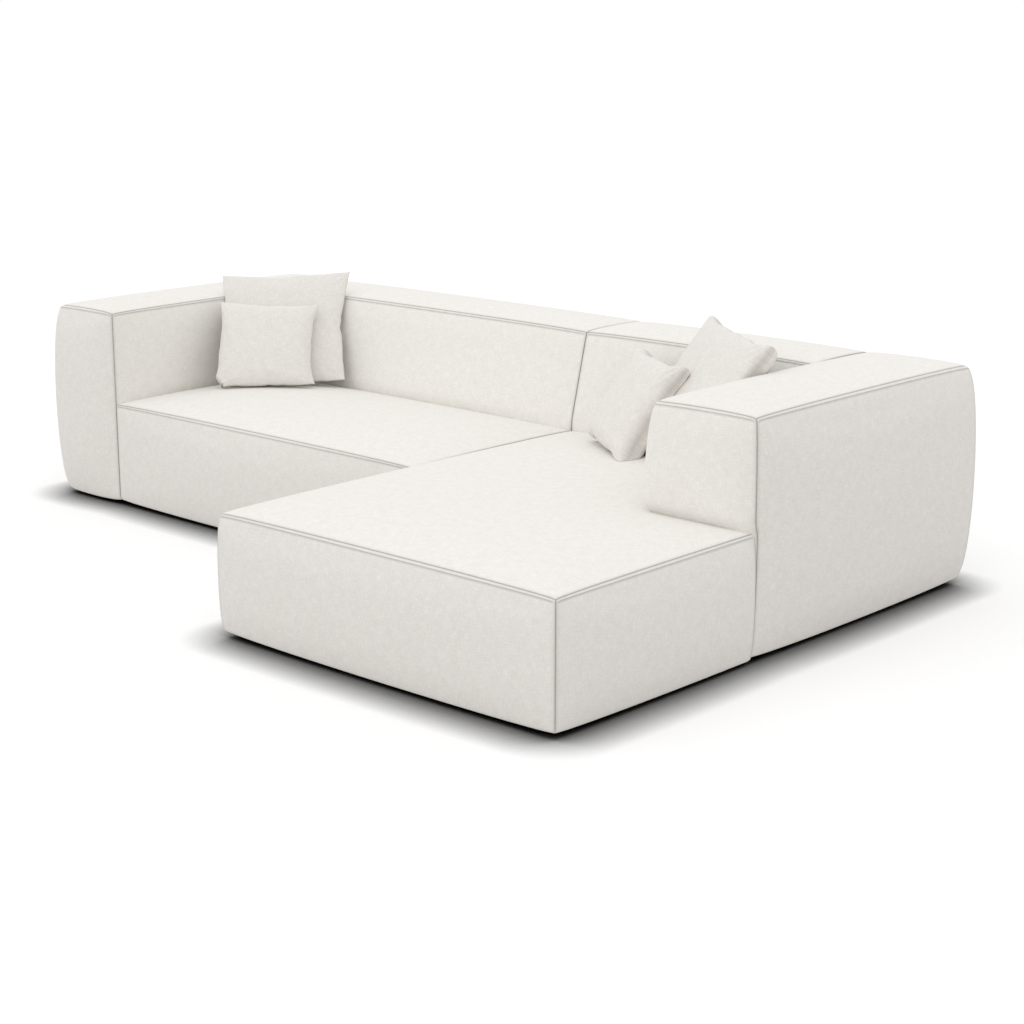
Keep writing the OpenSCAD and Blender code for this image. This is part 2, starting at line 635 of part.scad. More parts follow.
// The hook drops over the catch's pin, just past the joint
pin_x = 4 * pin_r;
pin_z = plate_z - 1 - pin_r;
lip = 2 * pin_r + 1;
base_in = pin_x + 4 * lip;
module connector_base(h, side) {
    x0 = min(side * base_in, side * (h[1] + plate_w / 3));
    difference() {
        translate([x0, -hook_screw_y - plate_w / 3, 0])
            cube([h[1] + plate_w / 3 - base_in, 2 * hook_screw_y + plate_w * 2 / 3, plate_t]);
        for (sy = [-1, 1]) translate([side * h[1], sy * hook_screw_y, -1])
            cylinder(r = screw_r + hole_gap, h = plate_t + 2);
    }
}
module hook(h) translate([x_joint, h[0], plate_z]) union() {
    connector_base(h, -1);
    translate([-base_in, -hook_w / 2, 0]) cube([base_in + pin_x + pin_r + 1 + plate_t, hook_w, plate_t]);
    translate([pin_x + pin_r + 1, -hook_w / 2, -lip]) cube([plate_t, hook_w, lip + plate_t]);
}
module catch(h) translate([x_joint, h[0], plate_z]) union() {
    connector_base(h, 1);
    for (s = [-1, 1]) translate([pin_x - pin_r, s * (hook_w / 2 + 1 + plate_t / 2) - plate_t / 2, -lip])
        cube([base_in - pin_x + pin_r, plate_t, lip + plate_t]);
    translate([pin_x, 0, pin_z - plate_z]) rotate([90, 0, 0])
        cylinder(r = pin_r, h = hook_w + 2 + plate_t, center = true);
}

// Dust cloth stapled under a block, with holes where glides and screws pass
dust_in = under_r + 8;
module dust(b) {
    r = [b[0][0] + dust_in, b[0][nx(b)] - dust_in, b[1][0] + dust_in - b[9], b[1][ny(b)] - dust_in];
    color("#2f2e2c") difference() {
        union() {
            box(r[0], r[1], r[2], min(r[3], b[1][b[3]] - dust_in), glide_h, glide_h + dust_t);
            box(r[0], min(r[1], b[0][b[2]] - dust_in), r[2], r[3], glide_h, glide_h + dust_t);
        }
        for (p = glide_places) translate([p[0], p[1], 0]) cylinder(r = boss_r + hole_gap, h = frame_z);
        for (p = concat(plate_screw_places, connector_screw_places))
            translate([p[0], p[1], 0]) cylinder(r = screw_r + hole_gap, h = frame_z);
    }
}

// Pillow body on a lattice that is finer toward its edges; front and back swell by their own depths
cells = 8;
puff_power = 1.3;
function lattice(k) = sin(90 * (2 * k / cells - 1));
function swollen(a, b) = pow(max(0, (1 - a * a) * (1 - b * b)), puff_power / 2);
function on_edge(i, j) = i == 0 || j == 0 || i == cells || j == cells;
function pillow_point(w, h, d, i, j) = let (u = lattice(i), v = lattice(j)) [
    w / 2 * u * (1 - draw_in * (1 - v * v)), on_edge(i, j) ? 0 : -d * swollen(u, v),
    h / 2 * v * (1 - draw_in * (1 - u * u))];
function back_index(i, j) =
    on_edge(i, j) ? i * (cells + 1) + j : (cells + 1) * (cells + 1) + (i - 1) * (cells - 1) + j - 1;
module pillow_body(w, h, front, rear) {
    m = cells + 1;
    polyhedron(
        points = concat([for (i = [0:cells], j = [0:cells]) pillow_point(w, h, front, i, j)],
            [for (i = [1:cells - 1], j = [1:cells - 1]) pillow_point(w, h, -rear, i, j)]),
        faces = [for (i = [0:cells - 1], j = [0:cells - 1]) let (
            a = i * m + j, p = back_index(i, j), q = back_index(i + 1, j),
            r = back_index(i + 1, j + 1), s = back_index(i, j + 1),
            rising = (i < cells / 2) == (j < cells / 2))
            each rising
                ? [[a, a + 1, a + m + 1], [a, a + m + 1, a + m], [p, r, s], [p, q, r]]
                : [[a, a + 1, a + m], [a + 1, a + m + 1, a + m], [p, q, s], [s, q, r]]],
        convexity = 4);
}

// A pillow is [width, height, front depth, rear depth, turn, lean, roll, foot x, foot y, foot z]
module set_down(p) translate([p[7], p[8], p[9]]) rotate([0, 0, p[4]]) rotate([-p[5], 0, 0])
    rotate([0, -p[6], 0]) translate([0, 0, p[1] / 2 * (1 - draw_in)]) children();
module pillow_cover(p) color("#efece6") set_down(p) difference() {
    pillow_body(p[0], p[1], p[2], p[3]);
    pillow_body(p[0] - 2 * seam_in, p[1] - 2 * seam_in, p[2] - pillow_cloth, p[3] - pillow_cloth);
}
module pillow_filling(p) color("#f7f5ef") set_down(p) {
    d = seam_in + 2 * fit;
    e = pillow_cloth + fit;
    pillow_body(p[0] - 2 * d, p[1] - 2 * d, p[2] - e, p[3] - e);
}

// Top of a seat at a place, and the place of a pillow's foot above it
function seat_top(x, y) =
    let (d = max(0, min(abs(x - x_seat), abs(x - x_joint), abs(x - x_arm_r), y_foot - y)),
         t = 1 - min(d / seat_crown_r, 1))
    seat_h + arch(x < x_joint ? left_seat : chaise, x, y) + seat_crown * (1 - t * t);
function foot(corner, size, turn, lean, roll, out, aside, settle) = let (
    x = corner[0] + sin(turn) * out + cos(turn) * aside,
    y = corner[1] - cos(turn) * out + sin(turn) * aside,
    tips = [for (e = [-1, 1]) let (half_w = e * size[0] / 2)
        seat_top(x + cos(turn) * half_w, y + sin(turn) * half_w)
            + cos(lean) * (size[1] / 2 * draw_in * cos(roll) - half_w * sin(roll))])
    [x, y, max(seat_top(x, y) + size[2] / 20, tips[0], tips[1]) + pillow_lift - settle];
rise = block_h - seat_h;
left_corner = [x_seat, y_back];
right_corner = [x_arm_r, y_back];
ll_foot = foot(left_corner, [ll_w, ll_h, ll_t], ll_turn, ll_lean, ll_roll,
    ll_out + rise * tan(ll_lean), ll_aside, ll_settle);
ls_foot = foot(ll_foot, [ls_w, ls_h, ls_t], ll_turn, ll_lean, ls_roll,
    ls_step, ls_aside, ls_settle);
rl_foot = foot(right_corner, [rl_w, rl_h, rl_t], rl_turn, rl_lean, rl_roll,
    rl_out + rise * tan(rl_lean), rl_aside, rl_settle);
rs_foot = foot(rl_foot, [rs_w, rs_h, rs_t], rl_turn, rl_lean, rs_roll,
    rs_step, rs_aside, rs_settle);
left_large = concat([ll_w, ll_h, ll_t * nest, ll_t * (1 - nest), ll_turn, ll_lean, ll_roll], ll_foot);
left_small = concat([ls_w, ls_h, ls_t * (1 - nest), ls_t * nest, ll_turn, ll_lean, ls_roll], ls_foot);
right_large = concat([rl_w, rl_h, rl_t * nest, rl_t * (1 - nest), rl_turn, rl_lean, rl_roll], rl_foot);
right_small = concat([rs_w, rs_h, rs_t * (1 - nest), rs_t * nest, rl_turn, rl_lean, rs_roll], rs_foot);

// Sub-parts
module left_arm_cover() placed() cover(left_arm, tall_levels);
module left_arm_foam() placed() hood(left_arm, hood_cavity(left_arm));
module left_arm_boards() placed() boards(left_arm);
module left_arm_frame() placed() tall_frame(left_arm);
module left_arm_dust_cloth() placed() dust(left_arm);
module left_back_cover() placed() cover(left_back, tall_levels);
module left_back_foam() placed() hood(left_back, hood_cavity(left_back));
module left_back_boards() placed() boards(left_back);
module left_back_frame() placed() tall_frame(left_back);
module left_back_dust_cloth() placed() dust(left_back);
module right_back_cover() placed() cover(right_back, tall_levels);
module right_back_foam() placed() hood(right_back, hood_cavity(right_back));
module right_back_boards() placed() boards(right_back);
module right_back_frame() placed() tall_frame(right_back);
module right_back_dust_cloth() placed() dust(right_back);
module right_arm_cover() placed() cover(right_arm, tall_levels);
module right_arm_foam() placed() hood(right_arm, hood_cavity(right_arm));
module right_arm_boards() placed() boards(right_arm);
module right_arm_frame() placed() tall_frame(right_arm);
module right_arm_dust_cloth() placed() dust(right_arm);
module left_seat_cover() placed() cover(left_seat, low_levels);
module left_seat_foam_slab() placed() slab(left_seat);
module left_seat_foam_border() placed() border(left_seat, cavity(left_seat, slab_z));
module left_seat_felt() placed() felts(seat_bays);
module left_seat_springs() placed() springs(seat_bays);
module left_seat_spring_clips() placed() clips(seat_bays);
module left_seat_corner_blocks() placed() corner_blocks(seat_corners);
module left_seat_frame() placed() left_seat_frame_timber();
module left_seat_dust_cloth() placed() dust(left_seat);
module chaise_cover() placed() cover(chaise, low_levels);
module chaise_foam_slab() placed() slab(chaise);
module chaise_foam_border() placed() border(chaise, cavity(chaise, slab_z));
module chaise_felt() placed() felts(chaise_bays);
module chaise_springs() placed() springs(chaise_bays);
module chaise_spring_clips() placed() clips(chaise_bays);
module chaise_corner_blocks() placed() corner_blocks(chaise_corners);
module chaise_frame() placed() chaise_frame_timber();
module chaise_dust_cloth() placed() dust(chaise);
module glides() placed() color("#26262a") for (p = glide_places) glide(p);
module glide_screws() placed() color("#c4c6c8") for (p = glide_places) screw(p, sink);
module joining_plates() placed() color("#a9adb2") for (p = plates) joining_plate(p);
module plate_screws() placed() color("#c4c6c8") for (p = plate_screw_places) screw(p, plate_z);
module module_hooks() placed() color("#3a3c40") for (h = hooks) hook(h);
module module_catches() placed() color("#3a3c40") for (h = hooks) catch(h);
module connector_screws() placed() color("#c4c6c8") for (p = connector_screw_places) screw(p, plate_z);
module left_large_pillow_cover() placed() pillow_cover(left_large);
module left_large_pillow_filling() placed() pillow_filling(left_large);
module left_small_pillow_cover() placed() pillow_cover(left_small);
module left_small_pillow_filling() placed() pillow_filling(left_small);
module right_large_pillow_cover() placed() pillow_cover(right_large);
module right_large_pillow_filling() placed() pillow_filling(right_large);
module right_small_pillow_cover() placed() pillow_cover(right_small);
module right_small_pillow_filling() placed() pillow_filling(right_small);

left_arm_cover();
left_arm_foam();
left_arm_boards();
left_arm_frame();
left_arm_dust_cloth();
left_back_cover();
left_back_foam();
left_back_boards();
left_back_frame();
left_back_dust_cloth();
left_seat_cover();
left_seat_foam_slab();
left_seat_foam_border();
left_seat_felt();
left_seat_springs();
left_seat_spring_clips();
left_seat_corner_blocks();
left_seat_frame();
left_seat_dust_cloth();
chaise_cover();
chaise_foam_slab();
chaise_foam_border();
chaise_felt();
chaise_springs();
chaise_spring_clips();
chaise_corner_blocks();
chaise_frame();
chaise_dust_cloth();
right_back_cover();
right_back_foam();
right_back_boards();
right_back_frame();
right_back_dust_cloth();
right_arm_cover();
right_arm_foam();
right_arm_boards();
right_arm_frame();
right_arm_dust_cloth();
glides();
glide_screws();
joining_plates();
plate_screws();
module_hooks();
module_catches();
connector_screws();
left_large_pillow_cover();
left_large_pillow_filling();
left_small_pillow_cover();
left_small_pillow_filling();
right_large_pillow_cover();
right_large_pillow_filling();
right_small_pillow_cover();
right_small_pillow_filling();
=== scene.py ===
import json
import math
from collections import namedtuple

import bmesh
import bpy
from mathutils import Matrix, Vector, kdtree, noise


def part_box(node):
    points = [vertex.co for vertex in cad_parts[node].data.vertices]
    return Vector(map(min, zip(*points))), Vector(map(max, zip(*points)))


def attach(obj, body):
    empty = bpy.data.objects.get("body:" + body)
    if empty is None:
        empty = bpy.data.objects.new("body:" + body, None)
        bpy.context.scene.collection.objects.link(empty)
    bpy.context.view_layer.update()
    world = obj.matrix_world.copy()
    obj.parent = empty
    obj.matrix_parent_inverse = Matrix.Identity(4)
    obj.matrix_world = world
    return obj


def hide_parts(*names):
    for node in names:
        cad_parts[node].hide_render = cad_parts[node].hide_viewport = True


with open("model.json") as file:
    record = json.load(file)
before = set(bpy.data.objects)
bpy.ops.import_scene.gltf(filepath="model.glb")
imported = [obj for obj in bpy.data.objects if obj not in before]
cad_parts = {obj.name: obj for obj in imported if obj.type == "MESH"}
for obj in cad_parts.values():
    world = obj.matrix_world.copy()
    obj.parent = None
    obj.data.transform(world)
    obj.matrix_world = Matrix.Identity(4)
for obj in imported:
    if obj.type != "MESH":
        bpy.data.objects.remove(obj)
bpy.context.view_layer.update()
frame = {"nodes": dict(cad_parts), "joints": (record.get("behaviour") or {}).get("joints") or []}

# Camera
# Stands off the sofa's right front corner, a little above its backs, as in the photograph. The
# lens is the one that the block edges' vanishing lines give.
CAMERA_PLACE = Vector((4.742, -4.626, 1.826))
CAMERA_TURN = math.radians(42.355)
CAMERA_TILT = math.radians(14.226)
PHOTO_SIDE = 1024
FOCAL_PIXELS = 2082
SENSOR_WIDTH = 36


def add_object(name, data):
    made = bpy.data.objects.new(name, data)
    bpy.context.scene.collection.objects.link(made)
    return made


camera = add_object("camera", bpy.data.cameras.new("camera"))
camera.location = CAMERA_PLACE
camera.rotation_euler = (math.pi / 2 - CAMERA_TILT, 0, CAMERA_TURN)
camera.data.sensor_width = SENSOR_WIDTH
camera.data.lens = SENSOR_WIDTH * FOCAL_PIXELS / PHOTO_SIDE
bpy.context.scene.camera = camera

# Lounge end
# The right seat and the part that reaches out in front are one L-shaped block: foam on a timber
# frame in a stretched linen cover. Its top seam is lapped flat, its corner seams are plain.
LINEN = "#EDEAE5"
LINEN_SLUB = "#F4F2EE"
LINEN_SHADE = "#E8E5E0"
# Painted shade, laid into the seams' valleys, rolls and stitch lines
SEAM_SHADE = "#6F6A62"
# A yarn is under 1 mm thick, and its slubs are drawn as flecks of 3.3 mm by 23 mm. Per metre:
SLUBS_ACROSS = 300
SLUBS_ALONG = 44
WEFT_SHIFT = (7.3, 2.1, 0)
# Washing leaves patches of about 33 mm. Per metre:
PATCHES = 30.0


def linear(code):
    parts = [int(code[i:i + 2], 16) / 255 for i in (1, 3, 5)]
    return [p / 12.92 if p <= 0.04045 else ((p + 0.055) / 1.055) ** 2.4 for p in parts] + [1]


def add_node(tree, kind, settings=None, **inputs):
    """Adds a node. Inputs are named, with _ for a space, or numbered as i0, i1 and so on."""
    made = tree.nodes.new(kind)
    for name, value in (settings or {}).items():
        setattr(made, name, value)
    for name, value in inputs.items():
        key = int(name[1:]) if name[0] == "i" and name[1:].isdigit() else name.replace("_", " ")
        if isinstance(value, bpy.types.NodeSocket):
            tree.links.new(value, made.inputs[key])
        else:
            made.inputs[key].default_value = value
    return made


def new_material(name):
    made = bpy.data.materials.new(name)
    made.use_nodes = True
    made.node_tree.nodes.clear()
    return made, made.node_tree


def yarn(tree, cloth, across, along, offset):
    """Noise stretched along one set of threads of the cloth."""
    laid = add_node(tree, "ShaderNodeMapping", i0=cloth, Scale=(across, along, 1), Location=offset)
    return add_node(tree, "ShaderNodeTexNoise", {"noise_dimensions": "2D"}, Vector=laid.outputs[0],
                    Scale=1.0, Detail=3.0, Roughness=0.6).outputs[0]


def linen(name, base, slub, shade):
    """Plain-woven flax, washed soft: matte, with slubs, the thick places of the yarn, along both
    threads. Its map is in metres on the cloth, so that a thread keeps its width."""
    made, tree = new_material(name)
    cloth = add_node(tree, "ShaderNodeUVMap", {"uv_map": "weave"}).outputs["UV"]
    warp = yarn(tree, cloth, SLUBS_ACROSS, SLUBS_ALONG, (0, 0, 0))
    weft = yarn(tree, cloth, SLUBS_ALONG, SLUBS_ACROSS, WEFT_SHIFT)
    threads = add_node(tree, "ShaderNodeMath", {"operation": "ADD"}, i0=warp, i1=weft)
    cloud = add_node(tree, "ShaderNodeTexNoise", {"noise_dimensions": "2D"}, Vector=cloth,
                     Scale=PATCHES, Detail=4.0, Roughness=0.6)
    slubs = add_node(tree, "ShaderNodeMapRange", Value=threads.outputs[0], From_Min=0.98,
                     From_Max=1.3)
    patches = add_node(tree, "ShaderNodeMapRange", Value=cloud.outputs[0], From_Min=0.3,
                       From_Max=0.7)
    toned = add_node(tree, "ShaderNodeMix", {"data_type": "RGBA"}, i0=patches.outputs[0],
                     i6=linear(shade), i7=linear(base))
    woven = add_node(tree, "ShaderNodeMix", {"data_type": "RGBA"}, i0=slubs.outputs[0],
                     i6=toned.outputs[2], i7=linear(slub))
    # Painted shade: the stitched valley of a seam takes less light than the open cloth, so its
    # colour is darkened
    painted_seam_shade = add_node(tree, "ShaderNodeAttribute", {"attribute_name": "painted_seam_shade"})
    seam_shade_share = add_node(tree, "ShaderNodeMath", {"operation": "MULTIPLY"},
                       i0=painted_seam_shade.outputs["Fac"], i1=0.75)
    shaded = add_node(tree, "ShaderNodeMix", {"data_type": "RGBA", "blend_type": "MULTIPLY"},
                      i0=seam_shade_share.outputs[0], i6=woven.outputs[2], i7=linear(SEAM_SHADE))
    relief = add_node(tree, "ShaderNodeBump", Strength=0.3, Distance=0.0007,
                      Height=threads.outputs[0])
    skin = add_node(tree, "ShaderNodeBsdfPrincipled", Base_Color=shaded.outputs[2], Roughness=0.93,
                    Specular_IOR_Level=0.2, Sheen_Weight=0.08, Sheen_Roughness=0.6,
                    Normal=relief.outputs[0])
    add_node(tree, "ShaderNodeOutputMaterial", Surface=skin.outputs[0])
    return made


sofa_linen = linen("ivory_linen", LINEN, LINEN_SLUB, LINEN_SHADE)

# How a padded face bulges: its depth, the run it spans, its share at both ends of the run, and
# the height below which it stays flat
Belly = namedtuple("Belly", "depth start end at_start at_end flat_to", defaults=(0.0,))
BELLY_REACH = 0.15
FULLNESS = 0.4
PAST_END = 0.001


def swell(t, at_start, at_end):
    """Belly of a face along its run: 1 in the middle, the given shares at its ends, 0 beyond."""
    if t < -PAST_END or t > 1 + PAST_END:
        return 0.0
    t = min(1.0, max(0.0, t))
    k = 4 * t * (1 - t)
    return k + (1 - k) * (at_start * (1 - t) + at_end * t)


def shoulder(t):
    """Belly of a face over its height, and rise of a seam between its corners: 0 at the ends."""
    return (4 * t * (1 - t)) ** FULLNESS if 0 < t < 1 else 0.0


def near(distance):
    """Share of a bulge that a point takes, by its distance from the face that bulges."""
    return max(0.0, 1 - distance / BELLY_REACH) ** 2


# Places closer than this are one
SAME_PLACE = 1e-5
# The grid that a block is cut into, and the closer lines along its seams
CELL = 0.026
SEAM_MARGIN = 0.011
LAP_LINES = (0.005, 0.007, 0.0095)
UNDER_RADIUS = 0.009


def side_planes(outline):
    """The sides of an outline, counter-clockwise, as (axis, place, way out, from, to)."""
    planes = []
    for (ax, ay), (bx, by) in zip(outline, outline[1:] + outline[:1]):
        if abs(ax - bx) < SAME_PLACE:
            planes.append((0, ax, 1 if by > ay else -1, min(ay, by), max(ay, by)))
        else:
            planes.append((1, ay, -1 if bx > ax else 1, min(ax, bx), max(ax, bx)))
    return planes


def sides_at(co, planes, top):
    """Which sides of a block a point lies on, with "top" for its top."""
    found = {k for k, (axis, place, _, start, end) in enumerate(planes)
             if abs(co[axis] - place) < SAME_PLACE
             and start - SAME_PLACE <= co[1 - axis] <= end + SAME_PLACE}
    if co.z > top - SAME_PLACE:
        found.add("top")
    return found


def blank(outline, low, high, levels):
    """A plain block over an outline, turned under at the floor and cut into an even grid, with
    closer lines along its edges."""
    bm = bmesh.new()
    base = bm.faces.new([bm.verts.new((x, y, low)) for x, y in outline])
    grown = bmesh.ops.extrude_face_region(bm, geom=[base])
    raised = [g for g in grown["geom"] if isinstance(g, bmesh.types.BMVert)]
    bmesh.ops.translate(bm, verts=raised, vec=(0, 0, high - low))
    bmesh.ops.recalc_face_normals(bm, faces=bm.faces)
    under = [e for e in bm.edges if all(v.co.z < low + SAME_PLACE for v in e.verts)]
    bmesh.ops.bevel(bm, geom=under, offset=UNDER_RADIUS, segments=3, profile=0.5, affect="EDGES",
                    material=-1)
    marks = [{p[0] for p in outline}, {p[1] for p in outline}, {low + UNDER_RADIUS, high, *levels}]
    for axis, places in enumerate(marks):
        places = sorted(places)
        cuts = set(places[1:-1])
        for start, end in zip(places, places[1:]):
            if axis < 2:
                cuts |= {start + SEAM_MARGIN, end - SEAM_MARGIN}
                start, end = start + SEAM_MARGIN, end - SEAM_MARGIN
            elif end == high:
                cuts |= {end - line for line in LAP_LINES}
                end -= LAP_LINES[-1]
            count = max(1, round((end - start) / CELL))
            cuts |= {start + (end - start) * k / count for k in range(1, count)}
        normal = [float(a == axis) for a in range(3)]
        for cut in sorted(cuts):
            bmesh.ops.bisect_plane(bm, geom=bm.verts[:] + bm.edges[:] + bm.faces[:],
                                   dist=SAME_PLACE, plane_co=[cut * n for n in normal],
                                   plane_no=normal)
    bmesh.ops.recalc_face_normals(bm, faces=bm.faces)
    return bm


def seam_distance(x, y, planes):
    """Distance of a place on the top from the nearest side."""
    gaps = []
    for axis, place, _, start, end in planes:
        run, gap = (y, abs(x - place)) if axis == 0 else (x, abs(y - place))
        gaps.append(math.hypot(gap, max(0, start - run, run - end)))
    return min(gaps)


def simulate(obj, frames, pressure, stiffness, bending, pins=""):
    """Runs Cloth on a mesh under inner pressure and returns where its points come to lie. pins
    is the group of points that stay."""
    cloth = obj.modifiers.new("cloth", "CLOTH")
    made = cloth.settings
    made.quality = 5
    made.mass = 0.3
    made.tension_stiffness = stiffness
    made.compression_stiffness = stiffness
    made.shear_stiffness = stiffness / 3
    made.bending_stiffness = bending
    made.tension_damping = 20
    made.compression_damping = 20
    made.use_pressure = True
    made.uniform_pressure_force = pressure
    made.effector_weights.gravity = 0
    made.vertex_group_mass = pins
    cloth.point_cache.frame_start = 1
    cloth.point_cache.frame_end = frames
    for at in range(1, frames + 1):
        bpy.context.scene.frame_set(at)
    seen = obj.evaluated_get(bpy.context.evaluated_depsgraph_get())
    places = [v.co.copy() for v in seen.data.vertices]
    obj.modifiers.remove(cloth)
    bpy.context.scene.frame_set(1)
    return places


def weave_map(mesh):
    """Lays the threads on a mesh in metres, straight along each side, as its panels are cut."""
    layer = mesh.uv_layers.new(name="weave")
    for face in mesh.polygons:
        along = max(range(3), key=lambda a: abs(face.normal[a]))
        for loop in face.loop_indices:
            x, y, z = mesh.vertices[mesh.loops[loop].vertex_index].co
            layer.data[loop].uv = ((y, z), (x, z), (x, y))[along]


# A seam's valley and the rolls beside it, and the edge and stitches of the lap below
SEAM_WIDTH = 0.0025
VALLEY_DEPTH = 0.0008
ROLL_HEIGHT = 0.0006
LAP_HEIGHT = 0.0009
STITCH_DEPTH = 0.0011
ON_LINE = 0.0005


def seam_tree(edges):
    """The places along some edges, to find the nearest one."""
    points = [e.verts[0].co.lerp(e.verts[1].co, k / 8) for e in edges for k in range(9)]
    tree = kdtree.KDTree(len(points))
    for k, p in enumerate(points):
        tree.insert(p, k)
    tree.balance()
    return tree


def sew(bm):
    """Gives the marked edges their seams: lapped ones are marked seam, plain ones sharp. Each is
    a narrow valley between two low rolls. Below a lapped one the cloth lies double, as far as a
    second, fainter line of stitches. The valley, the rolls and that line also get painted shade."""
    edges = [e for e in bm.edges if e.seam] + [e for e in bm.edges if not e.smooth]
    tree = seam_tree(edges)
    bmesh.ops.bevel(bm, geom=edges, offset=SEAM_WIDTH, segments=2, profile=0.5, affect="EDGES",
                    material=-1)
    for e in bm.edges:
        e.seam = False
        e.smooth = True
    bm.normal_update()
    painted_seam_shade = bm.verts.layers.float.new("painted_seam_shade")
    lap = bm.verts.layers.float["lap"]
    # A bevel leaves a row of points in the seam and one on either side of it
    for v in bm.verts:
        gap = tree.find(v.co)[2]
        if gap < 0.7 * SEAM_WIDTH:
            out, dark = -VALLEY_DEPTH, 1.0
        elif gap < 1.5 * SEAM_WIDTH:
            out, dark = ROLL_HEIGHT, 0.2
        elif abs(v[lap] - LAP_LINES[0]) < ON_LINE:
            out, dark = LAP_HEIGHT, 0.0
        elif abs(v[lap] - LAP_LINES[1]) < ON_LINE:
            out, dark = -STITCH_DEPTH, 0.6
        else:
            continue
        v.co += v.normal * out
        # The valley, the rolls and the stitch line take painted shade
        v[painted_seam_shade] = dark
    bm.verts.layers.float.remove(lap)


# Radius of a corner that is turned round without a seam
ROUND_EDGE = 0.034
# The rise of a seam between its corners, and the sag and slack of the lower edge
SEAM_ARCH = 0.008
UNDER_SAG = 0.012
UNDER_LOOSE = 0.005
# The crown of a seat, and how far in from its sides it is reached
SEAT_CROWN = 0.026
SEAT_REACH = 0.33
# How far a stretched cover stands off its foam, and how unevenly, in waves per metre
STRETCH = 0.006
UNEVEN = 0.3
UNEVEN_WAVES = 5


def rounding(x, y, corner, middle):
    """How far a point near a square corner moves to lie on a round one, as (x, y)."""
    sx, sy = (1 if corner[k] > middle[k] else -1 for k in (0, 1))
    dx, dy = sx * (x - corner[0]) + ROUND_EDGE, sy * (y - corner[1]) + ROUND_EDGE
    if dx <= 0 or dy <= 0:
        return 0, 0
    share = max(dx, dy) / math.hypot(dx, dy) - 1
    return sx * dx * share, sy * dy * share


def mark_seams(bm, planes, bellies, seam_z, rounded):
    """Marks a block's seams and gives the points that its seams and neighbours hold in place."""
    def at_rounded(v):
        return rounded and (v.co.xy - Vector(rounded[:2])).length < SAME_PLACE

    lap = bm.verts.layers.float.new("lap")
    held = []
    for v in bm.verts:
        on = sides_at(v.co, planes, seam_z)
        flat = any(k != "top" and k not in bellies for k in on)
        v[lap] = seam_z - v.co.z
        at_seam = len(on) > 1 and not (at_rounded(v) and "top" not in on)
        if v.co.z < UNDERSIDE + UNDER_RADIUS + SAME_PLACE or flat or at_seam:
            held.append(v)
    for e in bm.edges:
        on = sides_at(e.verts[0].co, planes, seam_z) & sides_at(e.verts[1].co, planes, seam_z)
        e.seam = len(on) > 1 and "top" in on
        e.smooth = not (len(on) > 1 and "top" not in on and not at_rounded(e.verts[0]))
    return held


def fill_out(bm, outline, planes, seam_z, crown, reach, bellies, rake, rounded):
    """Gives a plain block its bulges, crown, arched seams, rake and round corner."""
    x_low, x_high = (end(p[0] for p in outline) for end in (min, max))
    y_low, y_high = (end(p[1] for p in outline) for end in (min, max))
    for v in bm.verts:
        x, y, z = v.co
        height = (z - UNDERSIDE) / (seam_z - UNDERSIDE)
        move = Vector((0, 0, 0))
        for k, belly in bellies.items():
            axis, place, out, _, _ = planes[k]
            along = (v.co[1 - axis] - belly.start) / (belly.end - belly.start)
            run = swell(along, belly.at_start, belly.at_end)
            full = min(1, max(0, (z - belly.flat_to) / SEAT_CROWN)) if belly.flat_to else 1
            inside = near(abs(v.co[axis] - place))
            move[axis] += out * belly.depth * run * full * shoulder(height) * inside
        arch = max(shoulder((x - x_low) / (x_high - x_low)),
                   shoulder((y - y_low) / (y_high - y_low)))
        move.z += SEAM_ARCH * arch * near(seam_z - z) - UNDER_SAG * arch * near(z - UNDERSIDE)
        if z > seam_z - SAME_PLACE:
            t = 1 - min(seam_distance(x, y, planes) / reach, 1)
            move.z += crown * (1 - t * t)
        if rake:
            depth, foot = rake
            share = min(1, max(0, (seam_z - z) / (seam_z - foot)))
            move.y -= depth * share * (y_high - y) / (y_high - y_low)
        if rounded:
            full = min(1, max(0, (z - rounded[2]) / SEAT_CROWN))
            middle = (x_low + x_high) / 2, (y_low + y_high) / 2
            move += full * Vector((*rounding(x, y, rounded, middle), 0))
        v.co += move


def stretch(obj, pinned):
    """Pulls the cover tight. It stands proud of the foam between its seams, never quite evenly."""
    mesh = obj.data
    obj.vertex_groups.new(name="stitched").add(pinned, 1.0, "REPLACE")
    normals = [v.normal.copy() for v in mesh.vertices]
    placed = simulate(obj, frames=18, pressure=4.0, stiffness=15.0, bending=0.5, pins="stitched")
    for v, normal, sim in zip(mesh.vertices, normals, placed):
        out = max(0.0, (sim - v.co).dot(normal))
        uneven = 1 + UNEVEN * noise.noise(v.co * UNEVEN_WAVES)
        v.co += normal * (STRETCH * math.tanh(out / STRETCH) * uneven)
    obj.vertex_groups.clear()


def soften(obj):
    """Shades a cover smooth and rounds its mesh once more."""
    for face in obj.data.polygons:
        face.use_smooth = True
    smooth = obj.modifiers.new("smooth", "SUBSURF")
    smooth.levels = 1
    smooth.render_levels = 1


